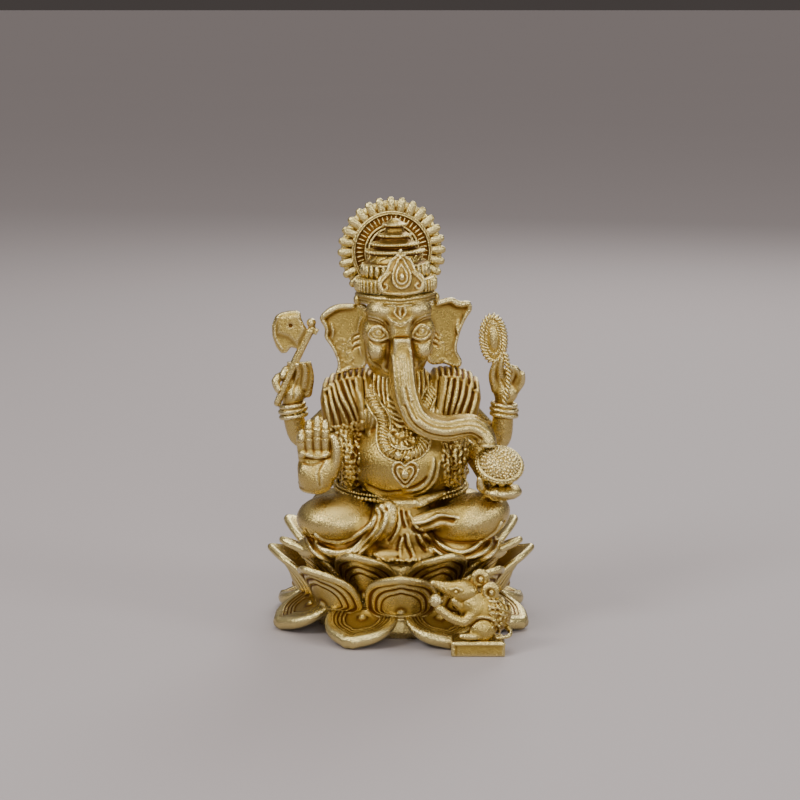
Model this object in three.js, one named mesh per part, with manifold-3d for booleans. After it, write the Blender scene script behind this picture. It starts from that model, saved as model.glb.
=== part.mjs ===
// Seated elephant-headed deity on a double lotus, with a mouse on a small plinth.
// Millimetres, +Z up, +X to the viewer's right, the front faces -Y.
// The origin is the centre of the lotus core's flat underside.
// "Right" and "left" are the deity's own, so a right-hand piece stands at -X.
import * as THREE from "three";
import { mergeVertices } from "three/addons/utils/BufferGeometryUtils.js";
import Module from "manifold-3d";

const wasm = await Module();
wasm.setup();

// ---- driving dimensions ----
const GAP = 0.3; // joint line between neighbouring castings
const PETALS = 8; // petals in each ring
const CORE_R = 19.0; // lotus core, at the waist of the base
const CORE_FOOT_R = 18.0; // flat underside
const WAIST_Z = 6.6; // where the upper and lower petals meet
const SEAT_Z = 14.6; // top of the core, which the legs rest on
const LOWER_REACH = 26.2; // petal reach from the axis, lower ring
const UPPER_REACH = 26.4; // outer upper ring
const UPPER_TOP = 13.8;
const INNER_REACH = 22.4; // inner upper ring
const INNER_TOP = 17.3;
const PETAL_WALL = 1.7;

const LEG_SPREAD = 12.6; // knee centre from the middle
const KNEE_Z = 21.3; // height of the knee centres
const BELLY = { at: [0.6, -3.4, 33.0], r: [10.8, 10.2, 9.0] };
const HIPS = { at: [0, 3.4, 23.4], r: [12, 8.4, 9.2] };
const CHEST = { at: [0, 0.6, 43.2], r: [10.4, 7.4, 7.5] };

const HEAD_AT = [-0.85, -2.4, 56.5];
const HEAD_R = [7.3, 7.6, 8.4];
const HEAD_TILT = [0, -1, 6]; // degrees: the crown leans and the face turns a little
const CROWN_R = 8.0;
const CROWN_Z = 64.8; // underside of the crown band
const BAND_H = 2.2;
const CROWN_H = 14.3; // from the top of the band to the finial's tip
const HALO_R = 10.9;
const HALO_T = 1.5;
const HALO_AT = [-0.3, 8.4, 17.4]; // from the middle of the head
const HALO_TEETH = 28;
const HALO_TOOTH = 0.45;

const BOWL_R = 4.7;
const PLINTH = [10.3, 6.0, 3.0];

// ---- materials ----
const gold = new THREE.MeshStandardMaterial({ color: 0xb79a5b, roughness: 0.34, metalness: 1 });
const goldPale = new THREE.MeshStandardMaterial({ color: 0xc6ad78, roughness: 0.3, metalness: 1 });
const goldDeep = new THREE.MeshStandardMaterial({ color: 0x9c7836, roughness: 0.42, metalness: 1 });

// ---- solids from three.js geometry ----
const deg = THREE.MathUtils.degToRad;
const vec = (p) => new THREE.Vector3(...p);

function solid(geometry) {
  const bare = geometry.index ? geometry.toNonIndexed() : geometry.clone();
  const kept = new THREE.BufferGeometry().setAttribute("position", bare.getAttribute("position"));
  const merged = mergeVertices(kept, 1e-4);
  return new wasm.Manifold(
    new wasm.Mesh({
      numProp: 3,
      vertProperties: merged.attributes.position.array,
      triVerts: new Uint32Array(merged.index.array),
    }),
  );
}

function geometryOf(manifold) {
  const mesh = manifold.getMesh();
  return new THREE.BufferGeometry()
    .setAttribute("position", new THREE.BufferAttribute(new Float32Array(mesh.vertProperties), 3))
    .setIndex(new THREE.BufferAttribute(new Uint32Array(mesh.triVerts), 1));
}

const join = (...solids) => solids.reduce((all, one) => all.add(one));

// A cut can leave a crumb beyond the neighbour, so a piece is the largest body of its cut.
function largest(manifold) {
  const bodies = manifold.decompose();
  return bodies.reduce((best, body) => (body.volume() > best.volume() ? body : best));
}

function pose({ at = [0, 0, 0], tilt = [0, 0, 0] }) {
  const turn = new THREE.Euler(deg(tilt[0]), deg(tilt[1]), deg(tilt[2]), "XYZ");
  return new THREE.Matrix4().compose(vec(at), new THREE.Quaternion().setFromEuler(turn), vec([1, 1, 1]));
}

// Ellipsoid whose surface is moved out by grow.
function ball({ at, r, tilt, sides = 12, rings = 8 }, grow = 0) {
  const g = new THREE.SphereGeometry(1, sides, rings).rotateX(Math.PI / 2);
  g.scale(r[0] + grow, r[1] + grow, r[2] + grow);
  return solid(g.applyMatrix4(pose({ at, tilt })));
}

// Round-ended tube through points, each with its own radius.
function limb({ points, radii, sides = 8, steps = 8 }, grow = 0) {
  const curve = new THREE.CatmullRomCurve3(points.map(vec), false, "centripetal");
  const frames = curve.computeFrenetFrames(steps, false);
  const end = 1 / steps;
  const g = new THREE.CylinderGeometry(1, 1, 1, sides, steps);
  const position = g.getAttribute("position");
  const p = new THREE.Vector3();
  for (let i = 0; i < position.count; i++) {
    p.fromBufferAttribute(position, i);
    const t = THREE.MathUtils.clamp(p.y + 0.5, 0, 1);
    const step = Math.round(t * steps);
    const place = t * (radii.length - 1);
    const low = Math.min(Math.floor(place), radii.length - 2);
    const radius = THREE.MathUtils.lerp(radii[low], radii[low + 1], place - low) + grow;
    const round = t < end / 2 || t > 1 - end / 2 ? 0.6 : 1;
    const centre = curve.getPoint(t);
    if (t < end / 2) centre.addScaledVector(frames.tangents[step], -grow);
    if (t > 1 - end / 2) centre.addScaledVector(frames.tangents[step], grow);
    centre.addScaledVector(frames.normals[step], p.x * radius * round);
    centre.addScaledVector(frames.binormals[step], p.z * radius * round);
    position.setXYZ(i, centre.x, centre.y, centre.z);
  }
  const made = solid(g);
  return made.volume() < 0 ? solid(flipped(g)) : made;
}

function flipped(geometry) {
  const g = geometry.index ? geometry.toNonIndexed() : geometry.clone();
  const a = g.getAttribute("position").array;
  for (let i = 0; i < a.length; i += 9)
    for (let k = 0; k < 3; k++) [a[i + 3 + k], a[i + 6 + k]] = [a[i + 6 + k], a[i + 3 + k]];
  return g;
}

// Solid of revolution about Z. The profile runs [radius, z] from the axis round to the axis.
function turned(profile, { at = [0, 0, 0], tilt, sides = 24 } = {}) {
  const points = profile.map(([r, z]) => new THREE.Vector2(r, z));
  const g = new THREE.LatheGeometry(points, sides).rotateX(Math.PI / 2);
  return solid(g.applyMatrix4(pose({ at, tilt })));
}

// A plate: an outline in X and Z, thick along Y, centred on y = 0 before it is posed.
function plate(shape, thickness, { at, tilt, curveSegments = 6 } = {}) {
  const g = new THREE.ExtrudeGeometry(shape, { depth: thickness, bevelEnabled: false, curveSegments });
  g.translate(0, 0, -thickness / 2).rotateX(Math.PI / 2);
  return solid(g.applyMatrix4(pose({ at, tilt })));
}

function outline(points) {
  return new THREE.Shape(points.map(([x, z]) => new THREE.Vector2(x, z)));
}

function box(size, { at, tilt } = {}, grow = 0) {
  const g = new THREE.BoxGeometry(size[0] + 2 * grow, size[1] + 2 * grow, size[2] + 2 * grow);
  return solid(g.applyMatrix4(pose({ at, tilt })));
}

// ---- the assembly ----
const statue = new THREE.Group();
const shapes = {}; // piece name -> function of grow that gives its uncut solid in the part's frame

function group(parent, at = [0, 0, 0], tilt = [0, 0, 0]) {
  const made = new THREE.Group();
  made.position.set(...at);
  made.rotation.set(deg(tilt[0]), deg(tilt[1]), deg(tilt[2]));
  parent.add(made);
  statue.updateMatrixWorld(true);
  return made;
}

// Adds a piece cut clear of the pieces named in clearOf. Shapes are written in the frame of home.
function add(home, name, material, shape, clearOf = []) {
  const world = home.matrixWorld.clone();
  shapes[name] = (grow = 0) => {
    const local = geometryOf(shape(grow)).applyMatrix4(world);
    return solid(local);
  };
  let made = shapes[name]();
  for (const other of clearOf) made = made.subtract(shapes[other](GAP));
  const anchor = new THREE.Vector3();
  const bounds = made.boundingBox();
  anchor.set(...bounds.min).add(new THREE.Vector3(...bounds.max)).multiplyScalar(0.5);
  const homeAnchor = anchor.clone().applyMatrix4(world.clone().invert());
  const local = geometryOf(largest(made)).applyMatrix4(world.clone().invert());
  local.translate(-homeAnchor.x, -homeAnchor.y, -homeAnchor.z);
  const mesh = new THREE.Mesh(local, material);
  mesh.name = name;
  mesh.position.copy(homeAnchor);
  home.add(mesh);
  return mesh;
}

// ---- lotus base ----
const lotus = group(statue);

add(lotus, "lotus_core", goldDeep, (grow) =>
  turned([
    [0, 0 - grow],
    [CORE_FOOT_R + grow, 0 - grow],
    [CORE_R + grow, 1.2],
    [CORE_R - 0.8 + grow, WAIST_Z],
    [CORE_R - 3.6 + grow, WAIST_Z + 2.4],
    [CORE_R - 4.2 + grow, SEAT_Z + grow],
    [0, SEAT_Z + grow],
  ]),
);

// ---- plinth, placed before the petals that give way to it ----
const PLINTH_AT = [14.7, -26.3, PLINTH[2] / 2];
const front = group(statue, PLINTH_AT);
add(front, "plinth", gold, (grow) => box(PLINTH, {}, grow));

// ---- crossed legs in their lower garment ----
const body = group(statue);
const legs = [
  {
    side: "right", sign: -1, knee: [-LEG_SPREAD, -8.6, KNEE_Z],
    r: [7.9, 7.4, 5.7], tilt: [0, 4, 14],
  },
  {
    side: "left", sign: 1, knee: [LEG_SPREAD + 1.4, -8.2, KNEE_Z - 0.6],
    r: [7.9, 7.4, 5.7], tilt: [0, -24, -12],
  },
];
for (const { side, sign, knee, r, tilt } of legs) {
  add(
    body,
    `${side}_leg`,
    gold,
    (grow) =>
      join(
        ball({ at: knee, r, tilt }, grow),
        ball({ at: [sign * 10.4, 1.4, 20.8], r: [8.6, 9.6, 5.8], tilt: [0, 0, -sign * 14] }, grow),
        ball({ at: [sign * 10, -11, 17.8], r: [9.8, 5, 3.3], tilt: [0, sign * 6, sign * 20] }, grow),
      ),
    sign < 0 ? ["lotus_core"] : ["lotus_core", "right_leg"],
  );
}

// ---- petals: one cupped leaf, bent round the axis, for each ring ----
// x runs across the petal, z along it from its root, and y through its wall.
function petal({ root, reach, low, top, curl, cup, tip, wall = PETAL_WALL }, grow = 0) {
  const g = new THREE.SphereGeometry(1, 10, 6).rotateX(Math.PI / 2);
  const position = g.getAttribute("position");
  const halfPitch = Math.PI / PETALS;
  for (let i = 0; i < position.count; i++) {
    const [x, y, z] = [position.getX(i), position.getY(i), position.getZ(i)];
    const along = (z + 1) / 2;
    const spread = 1 - tip * along ** 3;
    const radius =
      THREE.MathUtils.lerp(root, reach, along ** curl) - cup * (x * x) - y * (wall / 2 + grow) + grow * 0.2;
    const margin = (GAP / 2 + 0.1) / radius - grow / radius;
    const azimuth = x * (halfPitch - margin) * spread;
    const height = THREE.MathUtils.lerp(low, top, along) + (z * grow * Math.sign(top - low));
    position.setXYZ(i, radius * Math.sin(azimuth), -radius * Math.cos(azimuth), height);
  }
  const made = solid(g);
  return made.volume() < 0 ? solid(flipped(g)) : made;
}

const rings = [
  {
    name: "lower_petal", offset: 0.5, clearOf: ["lotus_core", "plinth"],
    shape: {
      root: CORE_R - 0.4, reach: LOWER_REACH, low: WAIST_Z - 0.2, top: 0.5,
      curl: 0.9, cup: 0.9, tip: 0.25,
    },
  },
  {
    name: "upper_petal", offset: 0, clearOf: ["lotus_core", "right_leg", "left_leg"],
    shape: {
      root: CORE_R - 0.8, reach: UPPER_REACH, low: WAIST_Z + 0.5, top: UPPER_TOP,
      curl: 1.3, cup: 1.2, tip: 0.3,
    },
  },
  {
    name: "inner_petal", offset: 0.5, clearOf: ["lotus_core", "right_leg", "left_leg"],
    shape: {
      root: CORE_R - 2.6, reach: INNER_REACH, low: WAIST_Z + 2.6, top: INNER_TOP,
      curl: 1.2, cup: 1.0, tip: 0.5,
    },
  },
];
for (const { name, offset, clearOf, shape } of rings)
  for (let i = 0; i < PETALS; i++) {
    const turn = ((i + offset) * 360) / PETALS;
    const home = group(lotus, [0, 0, 0], [0, 0, turn]);
    add(home, `${name}_${i + 1}`, gold, (grow) => petal(shape, grow), clearOf);
  }

// ---- torso ----
add(
  body,
  "torso",
  gold,
  (grow) =>
    join(
      ball({ ...BELLY, sides: 16, rings: 10 }, grow),
      ball({ ...CHEST, sides: 14 }, grow),
      ball(HIPS, grow),
    ),
  ["right_leg", "left_leg", "lotus_core", `inner_petal_${PETALS / 2}`, `inner_petal_${PETALS / 2 + 1}`],
);

// ---- head group: face, ears, trunk, crown and halo turn together ----
const head = group(body, HEAD_AT, HEAD_TILT);
const bandLow = CROWN_Z - HEAD_AT[2];
const bandTop = bandLow + BAND_H;

// Closed ring profile of the crown band, with a step where it grips the brow.
add(head, "crown_band", goldDeep, (grow) =>
  turned([
    [0, bandLow - grow],
    [CROWN_R - 0.4 + grow, bandLow - grow],
    [CROWN_R + grow, bandLow + 0.7],
    [CROWN_R + grow, bandTop - 0.7],
    [CROWN_R - 0.3 + grow, bandTop + grow],
    [0, bandTop + grow],
  ]),
);

// Each tier is [radius, bottom, top] above the band.
const tiers = [
  [8.2, GAP, 2.9],
  [6.8, 2.9, 5.9],
  [5.6, 5.9, 8.4],
  [4.5, 8.4, 9.7],
  [3.1, 9.7, 11.4],
  [2.3, 11.4, 13.4],
];
function crownProfile(grow) {
  const steps = tiers.flatMap(([r, low, high], i) => {
    const inward = i ? 0.7 : 0.4;
    return [
      [r - inward + grow, bandTop + low - (i ? 0 : grow)],
      [r + grow, bandTop + (low + high) / 2],
      [r - inward + grow, bandTop + high - 0.2],
    ];
  });
  const finial = [
    [1.5 + grow, bandTop + CROWN_H - 0.8],
    [0, bandTop + CROWN_H + grow],
  ];
  return [[0, bandTop + GAP - grow], ...steps, ...finial];
}
add(head, "crown", gold, (grow) => turned(crownProfile(grow), { sides: 20 }));

const crest = [[0, 3.9], [1.7, 2.2], [2.6, 0.2], [4.4, -1.4], [4.5, -3.2], [2.6, -4.1], [0, -3.8]];
const mirrored = (half) => [...half, ...half.slice(1, -1).reverse().map(([x, z]) => [-x, z])];
add(
  head,
  "crown_crest",
  goldPale,
  (grow) =>
    plate(outline(mirrored(crest)), 1.7 + 2 * grow, { at: [0.1, -8.9, bandTop + 4.3], tilt: [-8, 0, 0] }),
  ["crown", "crown_band"],
);

add(
  head,
  "skull",
  gold,
  (grow) =>
    join(
      ball({ at: [0, 0, 0], r: HEAD_R, sides: 16, rings: 11 }, grow),
      ball({ at: [0, -4.2, -2.6], r: [5.4, 4.2, 4.6] }, grow),
    ),
  ["crown_band", "torso"],
);

add(
  head,
  "trunk",
  goldPale,
  (grow) =>
    limb(
      {
        points: [
          [0.1, -7.4, 2.2], [-0.1, -9, -0.4], [0.1, -10.1, -3.8], [0.3, -10.6, -7.3],
          [0.9, -11, -10], [2.2, -11.4, -13.1], [4.8, -11.9, -15], [8.1, -12.1, -15.8],
          [11.1, -12, -15.5], [13.4, -12.1, -15.5], [15.4, -12.3, -16.7], [16.2, -12.6, -18.5],
        ],
        radii: [1.7, 1.9, 2.2, 2.35, 2.4, 2.45, 2.35, 2.1, 2, 1.85],
        sides: 10,
        steps: 18,
      },
      grow,
    ),
  ["skull", "torso"],
);

// The ear fans hang from behind the temples and lean back at their outer edge.
const ears = {
  right: [
    [-5.6, 6.6], [-8.4, 7.6], [-11.2, 7], [-15.2, 5], [-14.2, 0.6], [-12.5, -6.8], [-8.6, -5.2],
    [-5.6, -4.6],
  ],
  left: [
    [6.4, 6.8], [9, 8], [11.4, 7.6], [15.3, 5.7], [13.8, 1], [12.2, -4.2], [13.2, -6],
    [8.6, -5.4], [6.4, -4.2],
  ],
};
for (const [side, sign] of [["right", -1], ["left", 1]])
  add(
    head,
    `${side}_ear`,
    goldPale,
    (grow) => plate(outline(ears[side]), 1.5 + 2 * grow, { at: [0, 1.4, 0], tilt: [0, 0, sign * 8] }),
    ["skull", "crown_band", "torso"],
  );

// Halo: a disc with a scalloped rim, let into the back of the crown.
const scallops = Array.from({ length: HALO_TEETH * 2 }, (_, i) => {
  const angle = (i * Math.PI) / HALO_TEETH;
  const r = HALO_R - (i % 2 ? HALO_TOOTH : 0);
  return [r * Math.sin(angle), r * Math.cos(angle)];
});
add(
  head,
  "halo",
  gold,
  (grow) => plate(outline(scallops), HALO_T + 2 * grow, { at: HALO_AT }),
  ["crown", "crown_band", "skull"],
);

// ---- what the hands hold ----
const axeHandle = {
  points: [[-25.3, -2.2, 44.1], [-21.6, -2.4, 51.9], [-17.9, -2.2, 60.1]],
  radii: [0.9, 0.85, 0.6],
  steps: 4,
};
const axeBlade = [
  [-20.0, 62.4], [-22.6, 62.2], [-24.9, 60.8], [-26.0, 58.4], [-25.4, 56], [-23.4, 54.2],
  [-21.8, 56], [-20.2, 56.5], [-19.0, 58.6], [-19.8, 60.1],
];
add(body, "axe", goldPale, (grow) =>
  join(
    limb(axeHandle, grow),
    plate(outline(axeBlade), 1.2 + 2 * grow, { at: [0, -2.3, 0] }),
    ball({ at: [-17.8, -2.2, 60.4], r: [1.2, 1.2, 1.2], sides: 8, rings: 6 }, grow),
  ),
);

const nooseAt = [18.3, -1.9, 57.3];
add(body, "noose", gold, (grow) =>
  ball({ at: nooseAt, r: [2.9, 1.1, 5.3], tilt: [0, -5, 0], sides: 14, rings: 9 }, grow),
);

const bowlAt = [19.1, -12.8, 33.6];
const bowlTilt = [38, 8, 0];
const bowlProfile = (grow) => [
  [0, -3.1 - grow],
  [1.9 + grow, -2.9 - grow],
  [BOWL_R - 0.9 + grow, -1.3],
  [BOWL_R + grow, 0.9],
  [BOWL_R - 0.7 + grow, 1.1 + grow],
  [0, 1.1 + grow],
];
add(body, "bowl", gold, (grow) => turned(bowlProfile(grow), { at: bowlAt, tilt: bowlTilt, sides: 18 }));
add(
  body,
  "sweets",
  goldPale,
  (grow) => {
    const lift = vec([0, 0, 1.2]).applyMatrix4(pose({ tilt: bowlTilt })).add(vec(bowlAt));
    return ball({ at: lift.toArray(), r: [3.8, 3.8, 2.8], tilt: bowlTilt }, grow);
  },
  ["bowl"],
);

// ---- arms ----
function fingers(roots, tips, radius, grow) {
  return roots.map((root, i) =>
    limb({ points: [root, tips[i]], radii: [radius, radius * 0.85], sides: 6, steps: 2 }, grow),
  );
}

add(
  body,
  "front_right_arm",
  gold,
  (grow) =>
    join(
      limb(
        {
          points: [[-9.6, 0.6, 42.7], [-15.4, -0.6, 35.6], [-17, -5.6, 31.2], [-16.9, -11.2, 31.8]],
          radii: [3.2, 3, 2.5, 2.2],
        },
        grow,
      ),
      ball({ at: [-16.8, -12.2, 33.9], r: [3.7, 1.9, 4.7] }, grow),
      ...fingers(
        [[-19.2, -12.4, 37], [-17.8, -12.6, 37.5], [-16.4, -12.6, 37.5], [-15, -12.4, 37]],
        [[-18.9, -12.6, 41.4], [-17.7, -12.8, 43.1], [-16.4, -12.8, 43], [-15.1, -12.6, 42.1]],
        0.85,
        grow,
      ),
      limb(
        {
          points: [[-14.2, -12.6, 34.1], [-13.1, -12.8, 37.4], [-13.2, -12.6, 39.8]],
          radii: [1.2, 1, 0.8],
          sides: 6,
          steps: 4,
        },
        grow,
      ),
    ),
  ["torso", "right_leg"],
);

add(
  body,
  "rear_right_arm",
  gold,
  (grow) =>
    join(
      limb(
        {
          points: [[-10.4, 1.8, 44.6], [-16.4, 2.6, 38.3], [-19.6, 0.8, 39.3], [-21.6, -0.4, 44.8]],
          radii: [3, 2.7, 2.3, 1.9],
        },
        grow,
      ),
      ball({ at: [-22.5, -0.9, 46.9], r: [2.7, 2.2, 4], tilt: [0, -14, 0], sides: 10, rings: 8 }, grow),
    ),
  ["torso", "axe", "front_right_arm"],
);

add(
  body,
  "front_left_arm",
  gold,
  (grow) =>
    join(
      limb(
        {
          points: [[9.8, 0.4, 41.8], [15.2, -1.6, 34.7], [17.4, -6.4, 30.7], [19, -11, 28.9]],
          radii: [3.2, 3, 2.5, 2],
        },
        grow,
      ),
      ball({ at: [19.4, -12.2, 28.7], r: [3.9, 4, 1.8] }, grow),
    ),
  ["torso", "left_leg", "bowl", "trunk"],
);

add(
  body,
  "rear_left_arm",
  gold,
  (grow) =>
    join(
      limb(
        {
          points: [[10.4, 1.8, 44.6], [17.2, 1.6, 37.5], [19.4, -0.2, 38.9], [20.4, -0.8, 45.2]],
          radii: [3, 2.8, 2.4, 1.9],
        },
        grow,
      ),
      ball({ at: [21, -1.4, 47.9], r: [3, 2.2, 4.4], tilt: [0, 8, 0], sides: 10, rings: 8 }, grow),
    ),
  ["torso", "noose", "front_left_arm", "trunk", "bowl"],
);

// ---- garments over the shoulders and across the chest ----
const shawls = {
  right: [[-5.6, 49.8], [-9.4, 50.6], [-15.6, 48.3], [-15.4, 39.5], [-11, 35.4], [-7, 37.9]],
  left: [[5.6, 50], [9.4, 50.4], [15.5, 48.8], [15.5, 41.4], [11.6, 38.3], [7, 38.9]],
};
for (const [side, sign] of [["right", -1], ["left", 1]])
  add(
    body,
    `${side}_shawl`,
    goldDeep,
    (grow) =>
      ball({ at: [sign * 9.8, 0.4, 43], r: [7.4, 7.6, 9.3], tilt: [0, -sign * 12, 0] }, grow).intersect(
        plate(outline(shawls[side]), 20),
      ),
    ["torso", "skull", "trunk", "right_ear", "left_ear", `front_${side}_arm`, `rear_${side}_arm`],
  );

// A flat strip that follows a centre line in X and Z.
function ribbon(points, width) {
  const flat = points.map(([x, z]) => vec([x, z, 0]));
  const line = new THREE.CatmullRomCurve3(flat, false, "centripetal").getPoints(18);
  const sideOf = (sign) =>
    line.map((p, i) => {
      const run = line[Math.min(i + 1, line.length - 1)].clone().sub(line[Math.max(i - 1, 0)]).normalize();
      return [p.x - (sign * run.y * width) / 2, p.y + (sign * run.x * width) / 2];
    });
  return outline([...sideOf(1), ...sideOf(-1).reverse()]);
}

// A piece that lies on the torso: the layer between two offsets of it, inside an outline.
const onTorso = (shape, thickness) => (grow) =>
  shapes.torso(GAP + thickness + grow).intersect(plate(shape(grow), 24, { at: [0, -12, 0] }));

const heart = [[0, 1.5], [1.3, 2.2], [2.6, 1.4], [2.7, -0.2], [1.5, -2.0], [0, -3.1]];
const heartAt = [0.8, 32.7];
function heartOutline(grow) {
  const scale = 1 + grow / 2.7;
  return outline(mirrored(heart).map(([x, z]) => [heartAt[0] + x * scale, heartAt[1] + z * scale]));
}
add(body, "pendant", goldPale, onTorso(heartOutline, 1.1), ["torso"]);

const sash = [
  [-7, 50.6], [-6.8, 47.8], [-5.3, 45], [-3.6, 42.6], [-3.4, 40.6], [-3.5, 38.6], [-2.6, 36.8],
  [-0.6, 36], [1.2, 36], [3.2, 36.6], [4.6, 38.4], [4.4, 41], [4.4, 43.8], [5.2, 45.6],
  [6.4, 47.8], [7.1, 50.4],
];
add(body, "garland", gold, onTorso(() => ribbon(sash, 2.6), 1.3), [
  "torso", "pendant", "trunk", "skull", "right_shawl", "left_shawl", "right_ear", "left_ear",
]);

// ---- lap cloth and foot ----
const fan = [
  [-3.4, 27.8], [3.8, 27.6], [7.4, 22.6], [6.2, 18], [3, 14.4], [-7.4, 14.4], [-6.6, 18.8],
  [-4.4, 23.6],
];
add(
  body,
  "lap_cloth",
  goldDeep,
  (grow) =>
    ball({ at: [0, -9.6, 20], r: [10, 8.4, 9.3], sides: 12 }, grow).intersect(
      plate(outline(fan), 12 + 2 * grow, { at: [0, -13, 0] }),
    ),
  ["right_leg", "left_leg", "torso", "lotus_core", "inner_petal_1", `inner_petal_${PETALS}`],
);

// ---- mouse on its plinth ----
const mouseClear = [
  "plinth", "lower_petal_1", "lower_petal_2", "upper_petal_1", "upper_petal_2", "upper_petal_3",
];
add(
  statue,
  "mouse_sweet",
  goldPale,
  (grow) => ball({ at: [6.6, -28.1, 10.9], r: [1.4, 1.4, 1.4], sides: 8, rings: 6 }, grow),
);
add(
  statue,
  "mouse_body",
  gold,
  (grow) =>
    join(
      ball({ at: [16.4, -25.6, 8], r: [5, 3.3, 4.4], tilt: [0, 20, 10] }, grow),
      ball({ at: [15.8, -27.4, 5.6], r: [3.1, 2, 2.5] }, grow),
      limb(
        {
          points: [[14, -27.4, 8.6], [10.6, -28.2, 7.6], [7.4, -28, 9]],
          radii: [1.3, 1, 0.9],
          sides: 6,
          steps: 4,
        },
        grow,
      ),
    ),
  [...mouseClear, "mouse_sweet"],
);
add(
  statue,
  "mouse_head",
  gold,
  (grow) =>
    join(
      ball({ at: [12.2, -26, 12.9], r: [3, 2.5, 2.3], sides: 10, rings: 8 }, grow),
      limb(
        {
          points: [[11.4, -26.2, 13], [8.6, -26.6, 14], [5.8, -26.9, 15.2]],
          radii: [2, 1.4, 0.6],
          sides: 6,
          steps: 3,
        },
        grow,
      ),
      ball({ at: [15, -25.6, 15.4], r: [1.9, 0.8, 1.9], sides: 8, rings: 6 }, grow),
      ball({ at: [17.4, -26.4, 12.9], r: [1.8, 0.9, 1.8], sides: 8, rings: 6 }, grow),
    ),
  [...mouseClear, "mouse_body"],
);

export default statue;
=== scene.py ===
"""Seated elephant-headed figure with four arms on a lotus, cast in pale satin gold.

Lengths are in millimetres.
"""
import math

import bmesh
import bpy
import numpy as np
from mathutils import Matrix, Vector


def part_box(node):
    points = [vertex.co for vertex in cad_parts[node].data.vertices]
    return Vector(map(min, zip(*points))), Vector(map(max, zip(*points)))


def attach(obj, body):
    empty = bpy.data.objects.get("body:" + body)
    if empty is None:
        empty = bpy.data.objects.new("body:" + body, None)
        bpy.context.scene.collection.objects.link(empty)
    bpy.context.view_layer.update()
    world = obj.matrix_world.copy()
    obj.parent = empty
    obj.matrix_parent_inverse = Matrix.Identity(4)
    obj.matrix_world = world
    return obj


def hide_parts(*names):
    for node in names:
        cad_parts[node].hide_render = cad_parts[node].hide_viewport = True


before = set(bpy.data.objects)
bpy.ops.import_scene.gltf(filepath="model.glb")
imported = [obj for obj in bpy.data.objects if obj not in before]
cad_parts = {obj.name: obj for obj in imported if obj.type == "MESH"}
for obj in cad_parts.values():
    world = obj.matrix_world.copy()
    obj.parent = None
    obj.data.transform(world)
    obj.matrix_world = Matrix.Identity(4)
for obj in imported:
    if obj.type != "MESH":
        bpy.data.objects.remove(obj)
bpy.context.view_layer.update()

import openvdb
from mathutils import Euler, Matrix, Vector

MM = 0.001
PETALS = 8            # petals in each ring of the lotus
HALO_TEETH = 28       # teeth round the rim of the halo
SWEETS = 150          # round sweets heaped in the bowl
BELT_BEADS = 74       # beads of full size round the girdle
BODY_CELL = 0.26      # spacing of the modelling grid for the torso
CLAY_CELL = 0.24      # for the legs
HEAD_CELL = 0.21      # for the head
CLOTH_CELL = 0.2      # for cloths, garland, ears, crown band and the arm with the bowl
HAND_CELL = 0.19      # for the other arms and the plinth
MOUSE_CELL = 0.18     # for the mouse's body
FINE_CELL = 0.17      # for the pendant, the noose and the mouse's head
BLADE_CELL = 0.16     # for the axe and the crest of the crown
STROKE_STEP = 0.7     # spacing of the points of a drawn line
FAR = 4.0             # distance stored away from any clay
CORE_DRAWN = (19, 14.6)   # radius and height that the lotus core's profile is drawn at
HALO_DRAWN = 10.9         # radius that the halo's profile is drawn at
BOWL_DRAWN = 4.62         # radius that the bowl's profile is drawn at
CAMERA_AWAY = 450     # distance of the camera from the middle of the figure
WIDTH_SEEN = 160      # width of the view at that distance
CAMERA_TILT = 10      # degrees that the camera looks down
SENSOR = 36           # width of the camera's sensor
FLOOR_REACH = 40.0    # metres from the middle of the floor to its edge


# ---- places taken from the frame ----
def low(node):
    """Lowest corner of a node's box."""
    return np.array(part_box(node)[0]) / MM


def high(node):
    """Highest corner of a node's box."""
    return np.array(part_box(node)[1]) / MM


def middle(node):
    """Middle of a node's box."""
    return (low(node) + high(node)) / 2


SEAT = middle("lotus_core") * (1, 1, 0) + high("lotus_core") * (0, 0, 1)   # the figure sits here
HEAD = middle("skull") + (0, 0.45, 0)
HEAD_TURN = Euler((0, math.radians(-1), math.radians(6))).to_matrix()


# ---- modelling clay ----
def ball(at, radii, turn=(0, 0, 0)):
    """An ellipsoid, turned by degrees about x, y and z."""
    radii = np.array(radii, float)
    spin = np.array(Euler([math.radians(a) for a in turn]).to_matrix()).T
    reach = np.sqrt(((spin.T * radii) ** 2).sum(1))

    def gap(x, y, z):
        p = [spin[i, 0] * (x - at[0]) + spin[i, 1] * (y - at[1]) + spin[i,
                                                                        2] * (z - at[2]) for i in range(3)]
        k0 = np.sqrt(sum((p[i] / radii[i]) ** 2 for i in range(3)))
        k1 = np.sqrt(sum((p[i] / radii[i] ** 2) ** 2 for i in range(3)))
        return k0 * (k0 - 1) / np.maximum(k1, 1e-6)

    return [(np.array(at) - reach, np.array(at) + reach, gap)]


def smooth_path(points, step=1.0, closed=False):
    """A Catmull-Rom curve through points of any width, resampled about every step."""
    points = np.array(points, float)
    if closed:
        points = np.vstack([points[-1:], points, points[:2]])
    else:
        points = np.vstack([2 * points[0] - points[1], points, 2 * points[-1] - points[-2]])
    rows = []
    for a, b, c, d in zip(points, points[1:], points[2:], points[3:]):
        count = max(1, int(math.ceil(np.linalg.norm((c - b)[:3]) / step)))
        t = (np.arange(count) / count)[:, None]
        rows.append(0.5 * (2 * b + (c - a) * t + (2 * a - 5 * b + 4 * c - d) * t**2
                           + (3 * b - 3 * c + d - a) * t**3))
    if not closed:
        rows.append(points[-2][None])
    return np.vstack(rows)


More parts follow.
